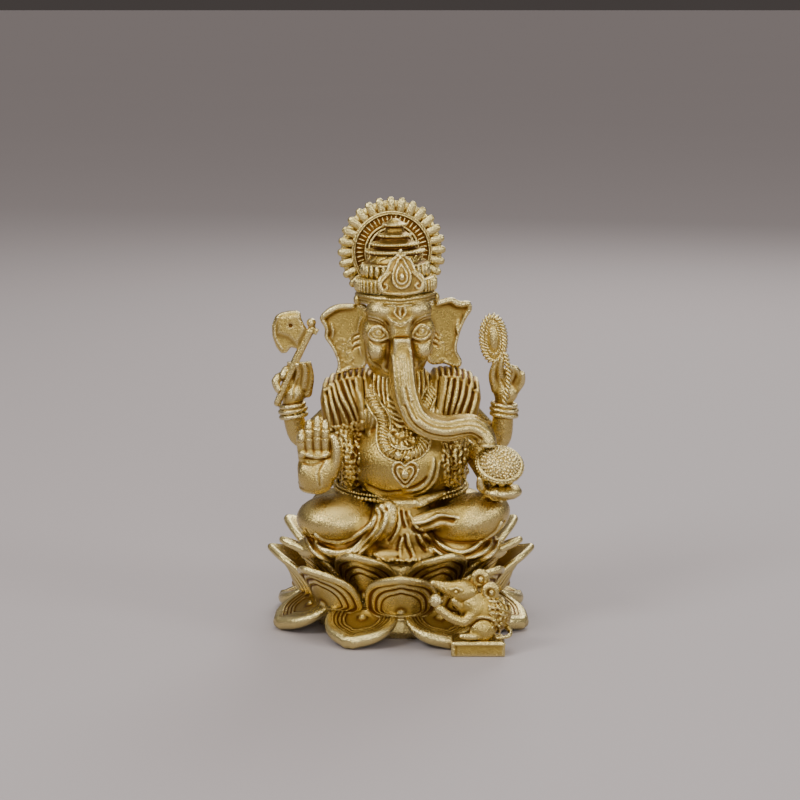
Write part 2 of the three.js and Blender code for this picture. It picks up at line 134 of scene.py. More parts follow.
def cord(points, radii, step=0.9, closed=False):
    """A round bar along a curve through points, its radius running through radii."""
    points = np.array(points, float)
    radii = np.interp(np.linspace(0, 1, len(points)), np.linspace(0, 1, np.size(radii)),
                      np.atleast_1d(radii))
    line = smooth_path(np.column_stack([points, radii]), step, closed)
    if closed:
        line = np.vstack([line, line[:1]])
    return [bar(a[:3], b[:3], a[3], b[3]) for a, b in zip(line, line[1:])]


def bar(a, b, ra, rb):
    run = b - a
    long = max(float(run @ run), 1e-9)
    big = max(ra, rb)

    def gap(x, y, z):
        h = np.clip(((x - a[0]) * run[0] + (y - a[1]) * run[1] + (z - a[2]) * run[2]) / long, 0, 1)
        off = (x - a[0] - h * run[0]) ** 2 + (y - a[1] - h * run[1]) ** 2 + (z - a[2] - h * run[2]) ** 2
        return np.sqrt(off) - ra - h * (rb - ra)

    return (np.minimum(a, b) - big, np.maximum(a, b) + big, gap)


def slab(outline, back, front, crown=0.0):
    """A plate between y = back and y = front with an outline in x and z; crown rounds its edges."""
    outline = np.array(outline, float)

    def gap(x, y, z):
        x, z = np.broadcast_arrays(x, z)
        flat = np.full(x.shape, 1e9)
        inside = np.zeros(x.shape, bool)
        for (ax, az), (bx, bz) in zip(outline, np.roll(outline, -1, 0)):
            dx, dz = bx - ax, bz - az
            h = np.clip(((x - ax) * dx + (z - az) * dz) / (dx * dx + dz * dz + 1e-12), 0, 1)
            flat = np.minimum(flat, np.hypot(x - ax - h * dx, z - az - h * dz))
            crosses = (az > z) != (bz > z)
            inside ^= crosses & (x < (bx - ax) * (z - az) / (bz - az + 1e-12) + ax)
        flat = np.where(inside, -flat, flat) + crown
        deep = np.abs(y - (back + front) / 2) - (front - back) / 2 + crown
        deep = np.broadcast_to(deep, np.broadcast(flat, deep).shape)
        outer = np.hypot(np.maximum(flat, 0), np.maximum(deep, 0))
        return np.minimum(np.maximum(flat, deep), 0) + outer - crown

    (x0, z0), (x1, z1) = outline.min(0), outline.max(0)
    return [(np.array([x0, back, z0]), np.array([x1, front, z1]), gap)]


def fillet(apart, soft):
    """What a fillet about soft wide adds where two surfaces lie apart."""
    return np.maximum(soft - np.abs(apart), 0) ** 2 / (4 * soft) if soft else 0


def signed_volume(points, faces):
    """Six times the volume within faces of three or four corners, negative if they point inwards."""
    corner = points[faces]
    return sum(np.einsum("ij,ij->i", corner[:, 0], np.cross(corner[:, k], corner[:, k + 1])).sum()
               for k in range(1, faces.shape[1] - 1))


class Clay:
    """A block of clay held as signed distances on a grid, in millimetres about a seat in the frame."""

    def __init__(self, lowest, highest, cell=CLAY_CELL):
        self.cell = cell
        self.low = np.array(lowest, float)
        counts = np.ceil((np.array(highest, float) - self.low) / cell).astype(int) + 1
        self.field = np.full(counts, FAR, np.float32)
        self.axes = [self.low[i] + cell * np.arange(counts[i]) for i in range(3)]

    def part(self, lowest, highest, reach):
        """The slices of the grid that cover a box grown by reach."""
        start = np.floor((lowest - reach - self.low) / self.cell).astype(int)
        stop = np.ceil((highest + reach - self.low) / self.cell).astype(int) + 1
        start = np.clip(start, 0, self.field.shape)
        stop = np.clip(stop, 0, self.field.shape)
        return tuple(slice(a, b) for a, b in zip(start, stop))

    def measure(self, shape, reach):
        """The slices round a whole shape, and its distances there."""
        whole = self.part(np.min([s[0] for s in shape], 0), np.max([s[1] for s in shape], 0), reach)
        gaps = np.full([max(0, w.stop - w.start) for w in whole], FAR, np.float32)
        for lowest, highest, gap in shape:
            some = self.part(lowest, highest, reach)
            if any(s.stop <= s.start for s in some):
                continue
            x, y, z = np.meshgrid(*(self.axes[i][some[i]] for i in range(3)), indexing="ij", sparse=True)
            inner = tuple(slice(s.start - w.start, s.stop - w.start) for s, w in zip(some, whole))
            gaps[inner] = np.minimum(gaps[inner], gap(x, y, z))
        return whole, gaps

    def add(self, shape, soft=0.0):
        """Presses a shape on, with a fillet about soft wide."""
        where, gaps = self.measure(shape, soft + 3 * self.cell)
        here = self.field[where]
        self.field[where] = np.minimum(here, gaps) - fillet(here - gaps, soft)
        return self

    def cut(self, shape, soft=0.0):
        """Takes a shape away."""
        where, gaps = self.measure(shape, soft + 3 * self.cell)
        here = self.field[where]
        self.field[where] = np.maximum(here, -gaps) + fillet(here + gaps, soft)
        return self

    def keep(self, shape, soft=0.0):
        """Takes away everything outside a shape."""
        where, gaps = self.measure(shape, soft + 3 * self.cell)
        whole = np.full(self.field.shape, FAR, np.float32)
        whole[where] = gaps
        self.field = np.maximum(self.field, whole) + fillet(self.field - whole, soft)
        return self

    def below(self, height):
        """Takes away everything under a height."""
        self.field = np.maximum(self.field, (height - self.axes[2])[None, None, :].astype(np.float32))
        return self

    def sample(self, points):
        """Distances at points, by trilinear interpolation."""
        at = (np.asarray(points) - self.low) / self.cell
        at = np.clip(at, 0, np.array(self.field.shape) - 1.001)
        base = at.astype(int)
        f = at - base
        total = 0
        for corner in np.ndindex(2, 2, 2):
            weight = np.prod(np.where(corner, f, 1 - f), axis=1)
            total = total + weight * self.field[tuple((base + corner).T)]
        return total

    def land(self, points, aim):
        """Where rays from points along aim meet the clay, leaving out the rays that miss."""
        points = np.array(points, float)
        aim = np.broadcast_to(np.array(aim, float), points.shape)
        aim = aim / np.linalg.norm(aim, axis=1)[:, None]
        travel = np.zeros(len(points))
        met = np.zeros(len(points), bool)
        longest = np.linalg.norm(np.array(self.field.shape) * self.cell)
        for _ in range(int(longest / (0.8 * self.cell))):
            gap = self.sample(points + aim * travel[:, None])
            met |= gap < 0.02
            if met.all():
                break
            travel = np.where(met, travel, travel + np.clip(gap, 0.05, 0.8 * self.cell))
        return (points + aim * travel[:, None])[met & (travel > 0)]

    def cast(self, spots, back=False):
        """Where points drawn in x and z meet the front (or back) of the clay."""
        side = self.axes[1][-1] if back else self.low[1]
        starts = np.column_stack([spots[:, 0], np.full(len(spots), side), spots[:, 1]])
        return self.land(starts, (0, -1 if back else 1, 0))

    def front(self, outline, step=STROKE_STEP):
        """Points of a line in x and z laid on the front of the clay."""
        return self.cast(smooth_path(np.array(outline, float), step))

    def ridge(self, outline, radius, soft=0.3, closed=False, back=False):
        """A raised line on the front (or back), drawn in x and z."""
        return self._stroke(outline, radius, soft, closed, back, self.add)

    def groove(self, outline, radius, soft=0.25, closed=False, back=False):
        """A sunk line on the front (or back), drawn in x and z."""
        return self._stroke(outline, radius, soft, closed, back, self.cut)

    def _stroke(self, outline, radius, soft, closed, back, tool):
        points = self.cast(smooth_path(np.array(outline, float), STROKE_STEP, closed), back)
        if len(points) >= 2:
            tool(cord(points, radius, STROKE_STEP, closed), soft)
        return self

    def grains(self, corners, count, size, seed, back=False):
        """Small uneven bumps over a four-cornered patch drawn in x and z."""
        rng = np.random.default_rng(seed)
        a, b, c, d = (np.array(corner, float) for corner in corners)
        u, v = rng.random((2, count, 1))
        spots = (a * (1 - u) + b * u) * (1 - v) + (d * (1 - u) + c * u) * v
        bumps = [ball(p, size * (0.7 + 0.6 * rng.random(3)))[0] for p in self.cast(spots, back)]
        return self.add(bumps, 0.15) if bumps else self

    def across(self, points, aim, radius, soft=0.3, carve=False):
        """A line cast onto the clay from points in space along aim."""
        hits = self.land(smooth_path(np.array(points, float), STROKE_STEP), aim)
        if len(hits) >= 2:
            (self.cut if carve else self.add)(cord(hits, radius, STROKE_STEP), soft)
        return self

    def faces(self, seat, turn=None):
        """The skin of the clay as points in the frame and four-sided faces."""
        grid = openvdb.FloatGrid(FAR)
        grid.copyFromArray(self.field)
        points, quads = grid.convertToQuads(isovalue=0.0)
        points = points * self.cell + self.low
        if turn is not None:
            points = points @ np.array(turn).T
        points = points + seat
        return points, quads[:, ::-1] if signed_volume(points, quads) < 0 else quads


# ---- meshes and pieces ----
def mesh_of(name, points, quads):
    """A mesh from points in millimetres and four-sided faces, with smooth shading."""
    mesh = bpy.data.meshes.new(name)
    quads = np.ascontiguousarray(quads, np.int32)
    mesh.vertices.add(len(points))
    mesh.vertices.foreach_set("co", (np.asarray(points) * MM).astype(np.float32).ravel())
    mesh.loops.add(quads.size)
    mesh.loops.foreach_set("vertex_index", quads.ravel())
    mesh.polygons.add(len(quads))
    mesh.polygons.foreach_set("loop_start", np.arange(0, quads.size, 4, dtype=np.int32))
    mesh.update(calc_edges=True)
    mesh.validate()
    mesh.shade_smooth()
    return mesh


def mark_hollows(mesh, passes=(4, 24), reach=(0.12, 0.5)):
    """Stores how far each point lies in a groove (fine) and in a fold (broad), from -1 to 1."""
    count = len(mesh.vertices)
    at = np.empty(count * 3, np.float32)
    mesh.vertices.foreach_get("co", at)
    at = at.reshape(-1, 3) / MM
    normal = np.empty(count * 3, np.float32)
    mesh.vertices.foreach_get("normal", normal)
    normal = normal.reshape(-1, 3)
    pairs = np.empty(len(mesh.edges) * 2, np.int32)
    mesh.edges.foreach_get("vertices", pairs)
    a, b = pairs.reshape(-1, 2).T
    ends, others = np.concatenate([a, b]), np.concatenate([b, a])
    degree = np.maximum(np.bincount(ends, minlength=count), 1)
    relaxed = at.astype(np.float64)
    done = 0
    for name, until, size in zip(("groove", "fold"), passes, reach):
        while done < until:
            relaxed = np.column_stack([np.bincount(ends, relaxed[others, i],
                                                   count) / degree for i in range(3)])
            done += 1
        depth = np.clip(np.einsum("ij,ij->i", relaxed - at, normal) / size, -1, 1)
        layer = mesh.attributes.new(name, "FLOAT", "POINT")
        layer.data.foreach_set("value", depth.astype(np.float32))


def piece(name, mesh, replaces, material):
    """Adds a finished piece to the figure in place of its CAD nodes."""
    mark_hollows(mesh)
    mesh.materials.clear()
    mesh.materials.append(material)
    made = bpy.data.objects.new(name, mesh)
    bpy.context.scene.collection.objects.link(made)
    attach(made, "root")
    if replaces:
        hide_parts(*replaces)
    return made


def sculpted(name, clay, seat, replaces, material, turn=None):
    """A piece made of clay."""
    return piece(name, mesh_of(name, *clay.faces(seat, turn)), replaces, material)


# ---- shader maths ----
class Value:
    """A shader socket that takes part in Python expressions."""

    def __init__(self, tree, socket):
        self.tree = tree
        self.socket = socket

    def _math(self, operation, *others, clamp=False):
        node = self.tree.nodes.new("ShaderNodeMath")
        node.operation = operation
        node.use_clamp = clamp
        for slot, value in zip(node.inputs, (self, *others)):
            if isinstance(value, Value):
                self.tree.links.new(value.socket, slot)
            else:
                slot.default_value = value
        return Value(self.tree, node.outputs[0])

    def __add__(self, other):
        return self._math("ADD", other)

    def __radd__(self, other):
        return self._math("ADD", other)

    def __sub__(self, other):
        return self._math("SUBTRACT", other)

    def __rsub__(self, other):
        return (self * -1) + other

    def __mul__(self, other):
        return self._math("MULTIPLY", other)

    def __rmul__(self, other):
        return self._math("MULTIPLY", other)

    def over(self, other):
        return self._math("MAXIMUM", other)

    def clamped(self):
        return self._math("ADD", 0.0, clamp=True)


class Shader:
    """Builds one material's nodes."""

    def __init__(self, name):
        self.material = bpy.data.materials.new(name)
        self.material.use_nodes = True
        self.tree = self.material.node_tree
        self.tree.nodes.clear()

    def node(self, kind, settings=None, output=0, **sockets):
        """A node of one type, with its settings made first and then its sockets' values or links."""
        made = self.tree.nodes.new("ShaderNode" + kind)
        for key, value in (settings or {}).items():
            setattr(made, key, value)
        for key, value in sockets.items():
            slot = made.inputs[key.replace("_", " ")]
            if isinstance(value, Value):
                self.tree.links.new(value.socket, slot)
            else:
                slot.default_value = value
        return Value(self.tree, made.outputs[output]) if len(made.outputs) else None

    def mix(self, amount, first, second):
        """Two colours mixed by an amount."""
        made = self.tree.nodes.new("ShaderNodeMix")
        made.data_type = "RGBA"
        for index, value in ((0, amount), (6, first), (7, second)):
            if isinstance(value, Value):
                self.tree.links.new(value.socket, made.inputs[index])
            else:
                made.inputs[index].default_value = value if index == 0 else (*value, 1)
        return Value(self.tree, made.outputs[2])


def gold(name, body, crevice_patina_and_shade, worn_and_highlight, roughness, grain=1.0):
    """Cast metal: speckled skin, browner in its hollows (partly patina, partly painted shade) and paler on
    its raised edges (partly wear, partly painted highlight).
    """
    shade = Shader(name)
    place = shade.node("TexCoord", output=3)
    groove = shade.node("Attribute", {"attribute_name": "groove"}, output=2)
    fold = shade.node("Attribute", {"attribute_name": "fold"}, output=2)
    cloud = shade.node("TexNoise", Vector=place, Scale=140.0, Detail=4.0, Roughness=0.6)
    speckle = shade.node("TexNoise", Vector=place, Scale=2600.0, Detail=3.0, Roughness=0.65)
    pits = shade.node("TexVoronoi", {"feature": "F1"}, Vector=place, Scale=3600.0)
    # painted shade: the colour is browned towards the crevice colour in grooves and broad folds, partly
    # patina and partly shade
    hollow_patina_and_shade = (groove.over(0.0) * 1.3 + fold.over(0.0) * 1.2 + (cloud - 0.5) * 0.3).clamped()
    # painted highlight: the colour is paled towards the worn colour on ridges and raised edges, partly wear
    # and partly highlight
    rubbed_and_highlight = ((groove * -1).over(0.0) * 1.5 + (fold * -1).over(0.0) * 0.6 + (cloud - 0.5) * 0.3).clamped()
    colour = shade.mix(hollow_patina_and_shade, body, crevice_patina_and_shade)
    colour = shade.mix(rubbed_and_highlight * 0.8, colour, worn_and_highlight)
    colour = shade.mix(((speckle - 0.5) * 1.6 + 0.35).clamped() * 0.35, colour, crevice_patina_and_shade)
    rough = (hollow_patina_and_shade * 0.16 + speckle * 0.16 + (cloud - 0.5) * 0.12 - rubbed_and_highlight * 0.05
             + (roughness - 0.06)).clamped()
    height = speckle * (0.00013 * grain) + pits * (0.00005 * grain) + cloud * 0.0001
    bump = shade.node("Bump", Strength=0.8, Distance=1.0, Height=height)
    surface = shade.node("BsdfPrincipled", Base_Color=colour, Metallic=1.0, Roughness=rough, Normal=bump)
    shade.node("OutputMaterial", Surface=surface)
    return shade.material


# One cast gold in three copies: the pale copy is lightened for the parts that catch more light, a painted
# highlight, and the deep brown copy is darkened for the parts that sit in shade, a painted shade.
CAST = gold("cast gold", (0.52, 0.365, 0.082), (0.15, 0.058, 0.007), (0.86, 0.73, 0.33), 0.27)
LIT_PALE_GOLD = gold("lit pale gold", (0.57, 0.415, 0.108), (0.18, 0.074, 0.01), (0.92, 0.80, 0.42), 0.26)
SHADED_DEEP_GOLD = gold("shaded brown gold", (0.46, 0.30, 0.064), (0.12, 0.04, 0.005), (0.84, 0.69, 0.28), 0.31, 1.4)


# ---- lotus petals ----
def ring_shell(surface, relief, wall, rows=26, columns=76, flat=False):
    """A closed petal: a front face with relief, a rounded rim and a plain back.

    surface takes reach (0 at the root boss, 1 at the rim) and bearing (0 towards the tip) and gives points.
    """
    reach = np.linspace(0.03, 1, rows)[:, None]
    bearing = np.linspace(-math.pi, math.pi, columns, endpoint=False)[None, :]
    reach, bearing = np.broadcast_arrays(reach, bearing)
    small = 1e-3
    at = surface(reach, bearing)
    along = surface(reach + small, bearing) - at
    round_ = surface(reach, bearing + small) - at
    normal = np.cross(round_, along)
    normal /= np.maximum(np.linalg.norm(normal, axis=2, keepdims=True), 1e-9)
    normal = np.array([0.0, 0.0, 1.0]) * np.ones_like(normal) if flat else normal
    outward = along / np.maximum(np.linalg.norm(along, axis=2, keepdims=True), 1e-9)
    thick = wall(reach, bearing)[..., None]
    front = at + normal * relief(reach, bearing)[..., None]
    back = at - normal * thick
    middle_line = (front[-1] + back[-1]) / 2
    half = np.linalg.norm(front[-1] - back[-1], axis=1, keepdims=True) / 2
    rim = [middle_line + half * (normal[-1] * math.cos(a) + outward[-1] * math.sin(a))
           for a in (math.pi * k / 6 for k in range(1, 6))]
    loops = [*front, *rim, *back[::-1]]
    points = np.vstack([front[0].mean(0)[None], *loops, back[0].mean(0)[None]])
    return points, bands(len(loops), columns), columns


def bands(rows, columns):
    """Four-sided faces between rings of points that follow one point at a pole."""
    k = np.arange(columns)
    after = (k + 1) % columns
    return np.vstack([np.column_stack([a + k, a + after, a + columns + after, a + columns + k])
                      for a in 1 + columns * np.arange(rows - 1)])


def closed_mesh(name, points, quads, columns):
    """The mesh of rings of points between two poles, with a fan of faces at each pole."""
    last = len(points) - 1
    k = np.arange(columns)
    after = (k + 1) % columns
    end = last - columns
    tris = np.vstack([np.column_stack([np.zeros(columns, int), 1 + after, 1 + k]),
                      np.column_stack([np.full(columns, last), end + k, end + after])])
    faces = quads.tolist() + tris.tolist()
    mesh = bpy.data.meshes.new(name)
    mesh.from_pydata((points * MM).tolist(), [], faces)
    mesh.update(calc_edges=True)
    if signed_volume(points, tris) + signed_volume(points, quads) < 0:
        mesh.flip_normals()
    mesh.shade_smooth()
    return mesh


def spun(name, line, poles, columns, flute=None):
    """A closed solid spun about z from a line of radii and heights, between two pole heights."""
    turn = np.linspace(0, 2 * math.pi, columns, endpoint=False)
    loops = []
    for r, z in line:
        radius = r * (flute(turn, z) if flute else 1) * np.ones(columns)
        loops.append(np.column_stack([radius * np.sin(turn), -radius * np.cos(turn), np.full(columns, z)]))
    points = np.vstack([[[0, 0, poles[0]]], *loops, [[0, 0, poles[1]]]])
    return closed_mesh(name, points, bands(len(loops), columns), columns)


def arch(bearing, half_width, length, heel, power, point):
    """How far the rim lies from the boss in each bearing."""
    s, c = np.abs(np.sin(bearing)), np.cos(bearing)
    round_rim = ((s / half_width) ** power + (np.maximum(c, 0) / length) ** power
                 + (np.maximum(-c, 0) / heel) ** power) ** (-1 / power)
    return round_rim * (1 + point * np.exp(-((np.angle(np.exp(1j * bearing)) / 0.22) ** 2)))


def steps(reach, edges, height, width):
    """Raised lines at some reaches."""
    return sum(height * np.exp(-(((reach - edge) / width) ** 2)) for edge in edges)


def standing_petal(name, node, turn):
    """A petal that stands up and leans out, with nested arches round a small boss at its root."""
    half_width, lean, cup, point = PETAL_FORM[name]
    foot, top = low(node)[2] - 0.3, high(node)[2]
    facing = math.radians(turn)
    reach_out = PETAL_REACH[name]
    root = PETAL_ROOT[name]
    length = top - foot

    def surface(reach, bearing):
        rim = arch(bearing, half_width, length, 2.0, 2.25, point)
        across, up = reach * rim * np.sin(bearing), reach * rim * np.cos(bearing)
        share = np.clip(up / length, -0.4, 1.2)
        flare = 0.66 * share + 0.34 * np.maximum(share, 0) ** lean
        radius = root + (reach_out - root) * flare
        radius = radius - cup * (across / half_width) ** 2 + 0.8 * (1 - reach**2)
        angle = facing + across / (0.5 * (root + reach_out))
        return np.stack([radius * np.sin(angle), -radius * np.cos(angle), foot + up], axis=-1)

    def relief(reach, bearing):
        rim = 0.34 * np.exp(-(((reach - 0.97) / 0.045) ** 2)) + 0.22 / (1 + np.exp(-(reach - 0.9) / 0.012))
        arches = steps(reach, (0.78, 0.60), 0.24, 0.03)
        grooves = -steps(reach, (0.885, 0.70, 0.545), 0.20, 0.022)
        disc = 0.55 * np.clip(1 - (reach / 0.54) ** 2, 0, 1)
        boss = 0.5 / (1 + np.exp((reach - 0.085) / 0.014))
        return rim + arches + grooves + disc * 0.6 + boss

    def wall(reach, bearing):
        return 0.9 + 0.5 * (1 - reach)

    return closed_mesh(name, *ring_shell(surface, relief, wall))


def lying_petal(name, turn):
    """A petal that lies open like a bowl on the table, ringed inside, with a thick rounded wall."""
    half_width = LYING_HALF_WIDTH
    facing = math.radians(turn)
    root = PETAL_ROOT[name]
    length = PETAL_REACH[name] - root
    top, rim_low = LYING_HEIGHTS

    def surface(reach, bearing):
        rim = arch(bearing, half_width, length, 2.2, 2.0, 0.10)
        across, out = reach * rim * np.sin(bearing), reach * rim * np.cos(bearing)
        share = np.clip(out / length, -0.3, 1.1)
        radius = root + out - 0.5 * (across / half_width) ** 2
        angle = facing + across / (root + 0.5 * length)
        bowl = 1.5 * (1 - reach**2.6)
        height = top - (top - rim_low) * share - bowl
        return np.stack([radius * np.sin(angle), -radius * np.cos(angle), height], axis=-1)

    def relief(reach, bearing):
        return steps(reach, (0.93, 0.82, 0.70, 0.58), 0.26,
                     0.028) + 0.62 / (1 + np.exp((reach - 0.1) / 0.02))

    def wall(reach, bearing):
        return 1.0 + 1.7 * reach**3 * (0.45 + 0.55 * np.clip(np.cos(bearing), 0, 1))

    return closed_mesh(name, *ring_shell(surface, relief, wall, flat=True))


CORE = high("lotus_core")[0]
PETAL_ROOT = {"upper": CORE + 1.5, "inner": CORE - 1.6, "lower": CORE + 0.6}
PETAL_REACH = {"upper": -low("upper_petal_1")[1] - 0.7,
               "inner": math.hypot(*high("inner_petal_1")[:1], low("inner_petal_1")[1]) - 0.2,
               "lower": -low("upper_petal_1")[1] - 1.0}
PETAL_FORM = {"upper": (8.0, 4.0, 1.6, 0.07), "inner": (7.3, 4.0, 1.5, 0.09)}   # half width, lean, cup, tip
LYING_HALF_WIDTH = 7.4
LYING_HEIGHTS = (high("lower_petal_1")[2] - 0.2, 3.0)   # at the root and at the rim


def lotus():
    """The core of the lotus and its three rings of petals."""
    profile = [(0, 0), (16.8, 0), (17.6, 0.5), (18.4, 1.6), (18.2, 3.4), (17.6, 5.2), (17.2, 6.6),
               (16.6, 7.6),
               (15.4, 9.2), (14.9, 11.6), (14.9, 13.6), (14.4, 14.3), (13.4, 14.6), (0, 14.6)]
    profile = np.array(profile) * (CORE / CORE_DRAWN[0], high("lotus_core")[2] / CORE_DRAWN[1])

    def flute(turn, z):
        return 1 + 0.012 * np.cos(turn * 36) * (6.0 < z < 14.0)

    name = "lotus_core_cast"
    mesh = spun(name, smooth_path(profile[1:-1], 0.45), (0, profile[-2, 1]), 144, flute)
    piece(name, mesh, ["lotus_core"], SHADED_DEEP_GOLD)
    for i in range(PETALS):
        turn = 360 * i / PETALS
        between = turn + 180 / PETALS
        for ring, facing in (("upper", turn), ("inner", between), ("lower", between)):
            node = f"{ring}_petal_{i + 1}"
            mesh = lying_petal(ring, facing) if ring == "lower" else standing_petal(ring, node, facing)
            piece(f"{ring}_petal_cast_{i + 1}", mesh, [node], CAST)


# ---- parts repeated along a line ----
class Shaper:
    """A Geometry Nodes tree with named inputs."""

    def __init__(self, name, inputs):
        self.tree = bpy.data.node_groups.new(name, "GeometryNodeTree")
        sockets = self.tree.interface
        sockets.new_socket("Geometry", in_out="INPUT", socket_type="NodeSocketGeometry")
        self.keys = {label: sockets.new_socket(label, in_out="INPUT",
                                               socket_type="NodeSocket" + kind).identifier
                     for label, kind in inputs.items()}
        sockets.new_socket("Geometry", in_out="OUTPUT", socket_type="NodeSocketGeometry")
        self.entry = self.tree.nodes.new("NodeGroupInput")
        self.exit = self.tree.nodes.new("NodeGroupOutput")

    def given(self, label):
        """The socket of a named input."""
        return self.entry.outputs[label]

    def node(self, kind, settings=None, output=0, **sockets):
        """A node of one type, with its settings made first and then its sockets' values or links."""
        made = self.tree.nodes.new(kind)
        for key, value in (settings or {}).items():
            setattr(made, key, value)
        for key, value in sockets.items():
            slot = made.inputs[key.replace("_", " ")]
            if isinstance(value, bpy.types.NodeSocket):
                self.tree.links.new(value, slot)
            else:
                slot.default_value = value
        return made.outputs[output]


def row_tree():
    """Element set along a line at even spacing, its X along the line and its Z along the line's up."""
    s = Shaper("row of parts", {"Element": "Object", "Count": "Int", "Size": "Float",
                                "Material": "Material"})
    line = s.node("GeometryNodeMeshToCurve", Mesh=s.given("Geometry"))
    line = s.node("GeometryNodeResampleCurve", Curve=line, Count=s.given("Count"))
    along = s.node("GeometryNodeInputTangent")
    up = s.node("GeometryNodeInputNamedAttribute", {"data_type": "FLOAT_VECTOR"}, Name="up")
    turn = s.node("FunctionNodeAlignRotationToVector", {"axis": "X"}, Vector=along)
    turn = s.node("FunctionNodeAlignRotationToVector", {"axis": "Z", "pivot_axis": "X"}, Rotation=turn,
                  Vector=up)
    part = s.node("GeometryNodeObjectInfo", output="Geometry", Object=s.given("Element"))
    size = s.node("ShaderNodeCombineXYZ", X=s.given("Size"), Y=s.given("Size"), Z=s.given("Size"))
    spots = s.node("GeometryNodeInstanceOnPoints", Points=line, Instance=part, Rotation=turn, Scale=size)
    solid = s.node("GeometryNodeRealizeInstances", Geometry=spots)
    done = s.node("GeometryNodeSetMaterial", Geometry=solid, Material=s.given("Material"))
    s.tree.links.new(done, s.exit.inputs[0])
    return s


def cover_tree():
    """Element set on every point of a carrier, its Z along the carrier's normal."""
    s = Shaper("cover of parts", {"Element": "Object", "Size": "Float", "Uneven": "Float", "Seed": "Int",
                                  "Material": "Material"})
    normal = s.node("GeometryNodeInputNormal")
    turn = s.node("FunctionNodeAlignRotationToVector", {"axis": "Z"}, Vector=normal)
    part = s.node("GeometryNodeObjectInfo", output="Geometry", Object=s.given("Element"))
    least = s.node("ShaderNodeMath", {"operation": "SUBTRACT"})
    s.tree.links.new(s.given("Size"), least.node.inputs[0])
    s.tree.links.new(s.given("Uneven"), least.node.inputs[1])
    size = s.node("FunctionNodeRandomValue", {"data_type": "FLOAT"}, output=1)
    s.tree.links.new(least, size.node.inputs[2])
    s.tree.links.new(s.given("Size"), size.node.inputs[3])
    s.tree.links.new(s.given("Seed"), size.node.inputs["Seed"])
    spots = s.node("GeometryNodeInstanceOnPoints", Points=s.given("Geometry"), Instance=part, Rotation=turn,
                   Scale=size)
    solid = s.node("GeometryNodeRealizeInstances", Geometry=spots)
    done = s.node("GeometryNodeSetMaterial", Geometry=solid, Material=s.given("Material"))
    s.tree.links.new(done, s.exit.inputs[0])
    return s


ROW = row_tree()
COVER = cover_tree()


def grown(shaper, carrier, **values):
    """The plain mesh that a tree makes from a carrier mesh; the modifier and carrier are removed."""
    holder = bpy.data.objects.new("carrier", carrier)
    bpy.context.scene.collection.objects.link(holder)
    modifier = holder.modifiers.new("grow", "NODES")
    modifier.node_group = shaper.tree
    for label, value in values.items():
        modifier[shaper.keys[label]] = value
    graph = bpy.context.evaluated_depsgraph_get()
    mesh = bpy.data.meshes.new_from_object(holder.evaluated_get(graph))
    holder.modifiers.remove(modifier)
    bpy.data.objects.remove(holder)
    bpy.data.meshes.remove(carrier)
    return mesh


def row(points, ups, element, count, size=1.0, closed=False):
    """Copies of an element along a line in millimetres."""
    points = np.asarray(points, float)
    carrier = bpy.data.meshes.new("line")
    edges = [(i, i + 1) for i in range(len(points) - 1)] + ([(len(points) - 1, 0)] if closed else [])
    carrier.from_pydata((points * MM).tolist(), edges, [])
    up = carrier.attributes.new("up", "FLOAT_VECTOR", "POINT")
    up.data.foreach_set("vector", np.ascontiguousarray(np.broadcast_to(ups, points.shape),
                                                       np.float32).ravel())
    return grown(ROW, carrier, Element=element, Count=count, Size=size, Material=CAST)


def element(name, points, faces):
    """A small mesh in millimetres that rows and covers repeat; it isn't shown itself."""
    mesh = bpy.data.meshes.new(name)
    mesh.from_pydata((np.asarray(points, float) * MM).tolist(), [], [list(map(int, f)) for f in faces])
    mesh.shade_smooth()
    return bpy.data.objects.new(name, mesh)


def bead_element(name, radii, sides=10, rings=6, skew=0.0, keel=0.0, square=2.0):
    """A bead with radii along, across and up the line.

    skew leans it along the line, keel sharpens its crest, square above 2 makes it blocky.
    """
    points, faces = [(0, 0, -radii[2])], []
    for i in range(1, rings):
        a = -math.pi / 2 + math.pi * i / rings
        for k in range(sides):
            b = 2 * math.pi * k / sides
            way = np.array([math.cos(a) * math.cos(b), math.cos(a) * math.sin(b), math.sin(a)])
            x, y, z = way * np.array(radii) / (np.abs(way) ** square).sum() ** (1 / square)
            points.append((x + skew * y, y, z * (1 + keel * (1 - abs(math.cos(a))))))
    points.append((0, 0, radii[2] * (1 + keel)))
    for k in range(sides):
        after = (k + 1) % sides
        faces.append((0, 1 + after, 1 + k))
        for i in range(rings - 2):
            a, b = 1 + i * sides, 1 + (i + 1) * sides
            faces.append((a + k, a + after, b + after, b + k))
        a = 1 + (rings - 2) * sides
        faces.append((a + k, a + after, len(points) - 1))
    return element(name, points, faces)


def circle(radius, count=72, centre=(0, 0, 0), across=(1, 0, 0), up=(0, 0, 1)):
    """Points of a circle and the outward direction at each."""
    a = np.linspace(0, 2 * math.pi, count, endpoint=False)[:, None]
    out = np.cos(a) * np.array(across, float) + np.sin(a) * np.array(up, float)
    return np.array(centre, float) + radius * out, out


def level_circle(radius, count, centre):
    """Points of a circle that lies level and the outward direction at each."""
    return circle(radius, count, centre, (1, 0, 0), (0, 1, 0))


def merged(name, *meshes):
    """Several meshes as one."""
    whole = bmesh.new()
    for mesh in meshes:
        whole.from_mesh(mesh)
    made = bpy.data.meshes.new(name)
    whole.to_mesh(made)
    whole.free()
    made.shade_smooth()
    return made


def moved(mesh, seat, turn=None):
    """A mesh turned and then carried to a seat in millimetres."""
    place = Matrix.Translation(Vector(seat) * MM)
    mesh.transform(place @ (turn.to_4x4() if turn is not None else Matrix.Identity(4)))
    return mesh


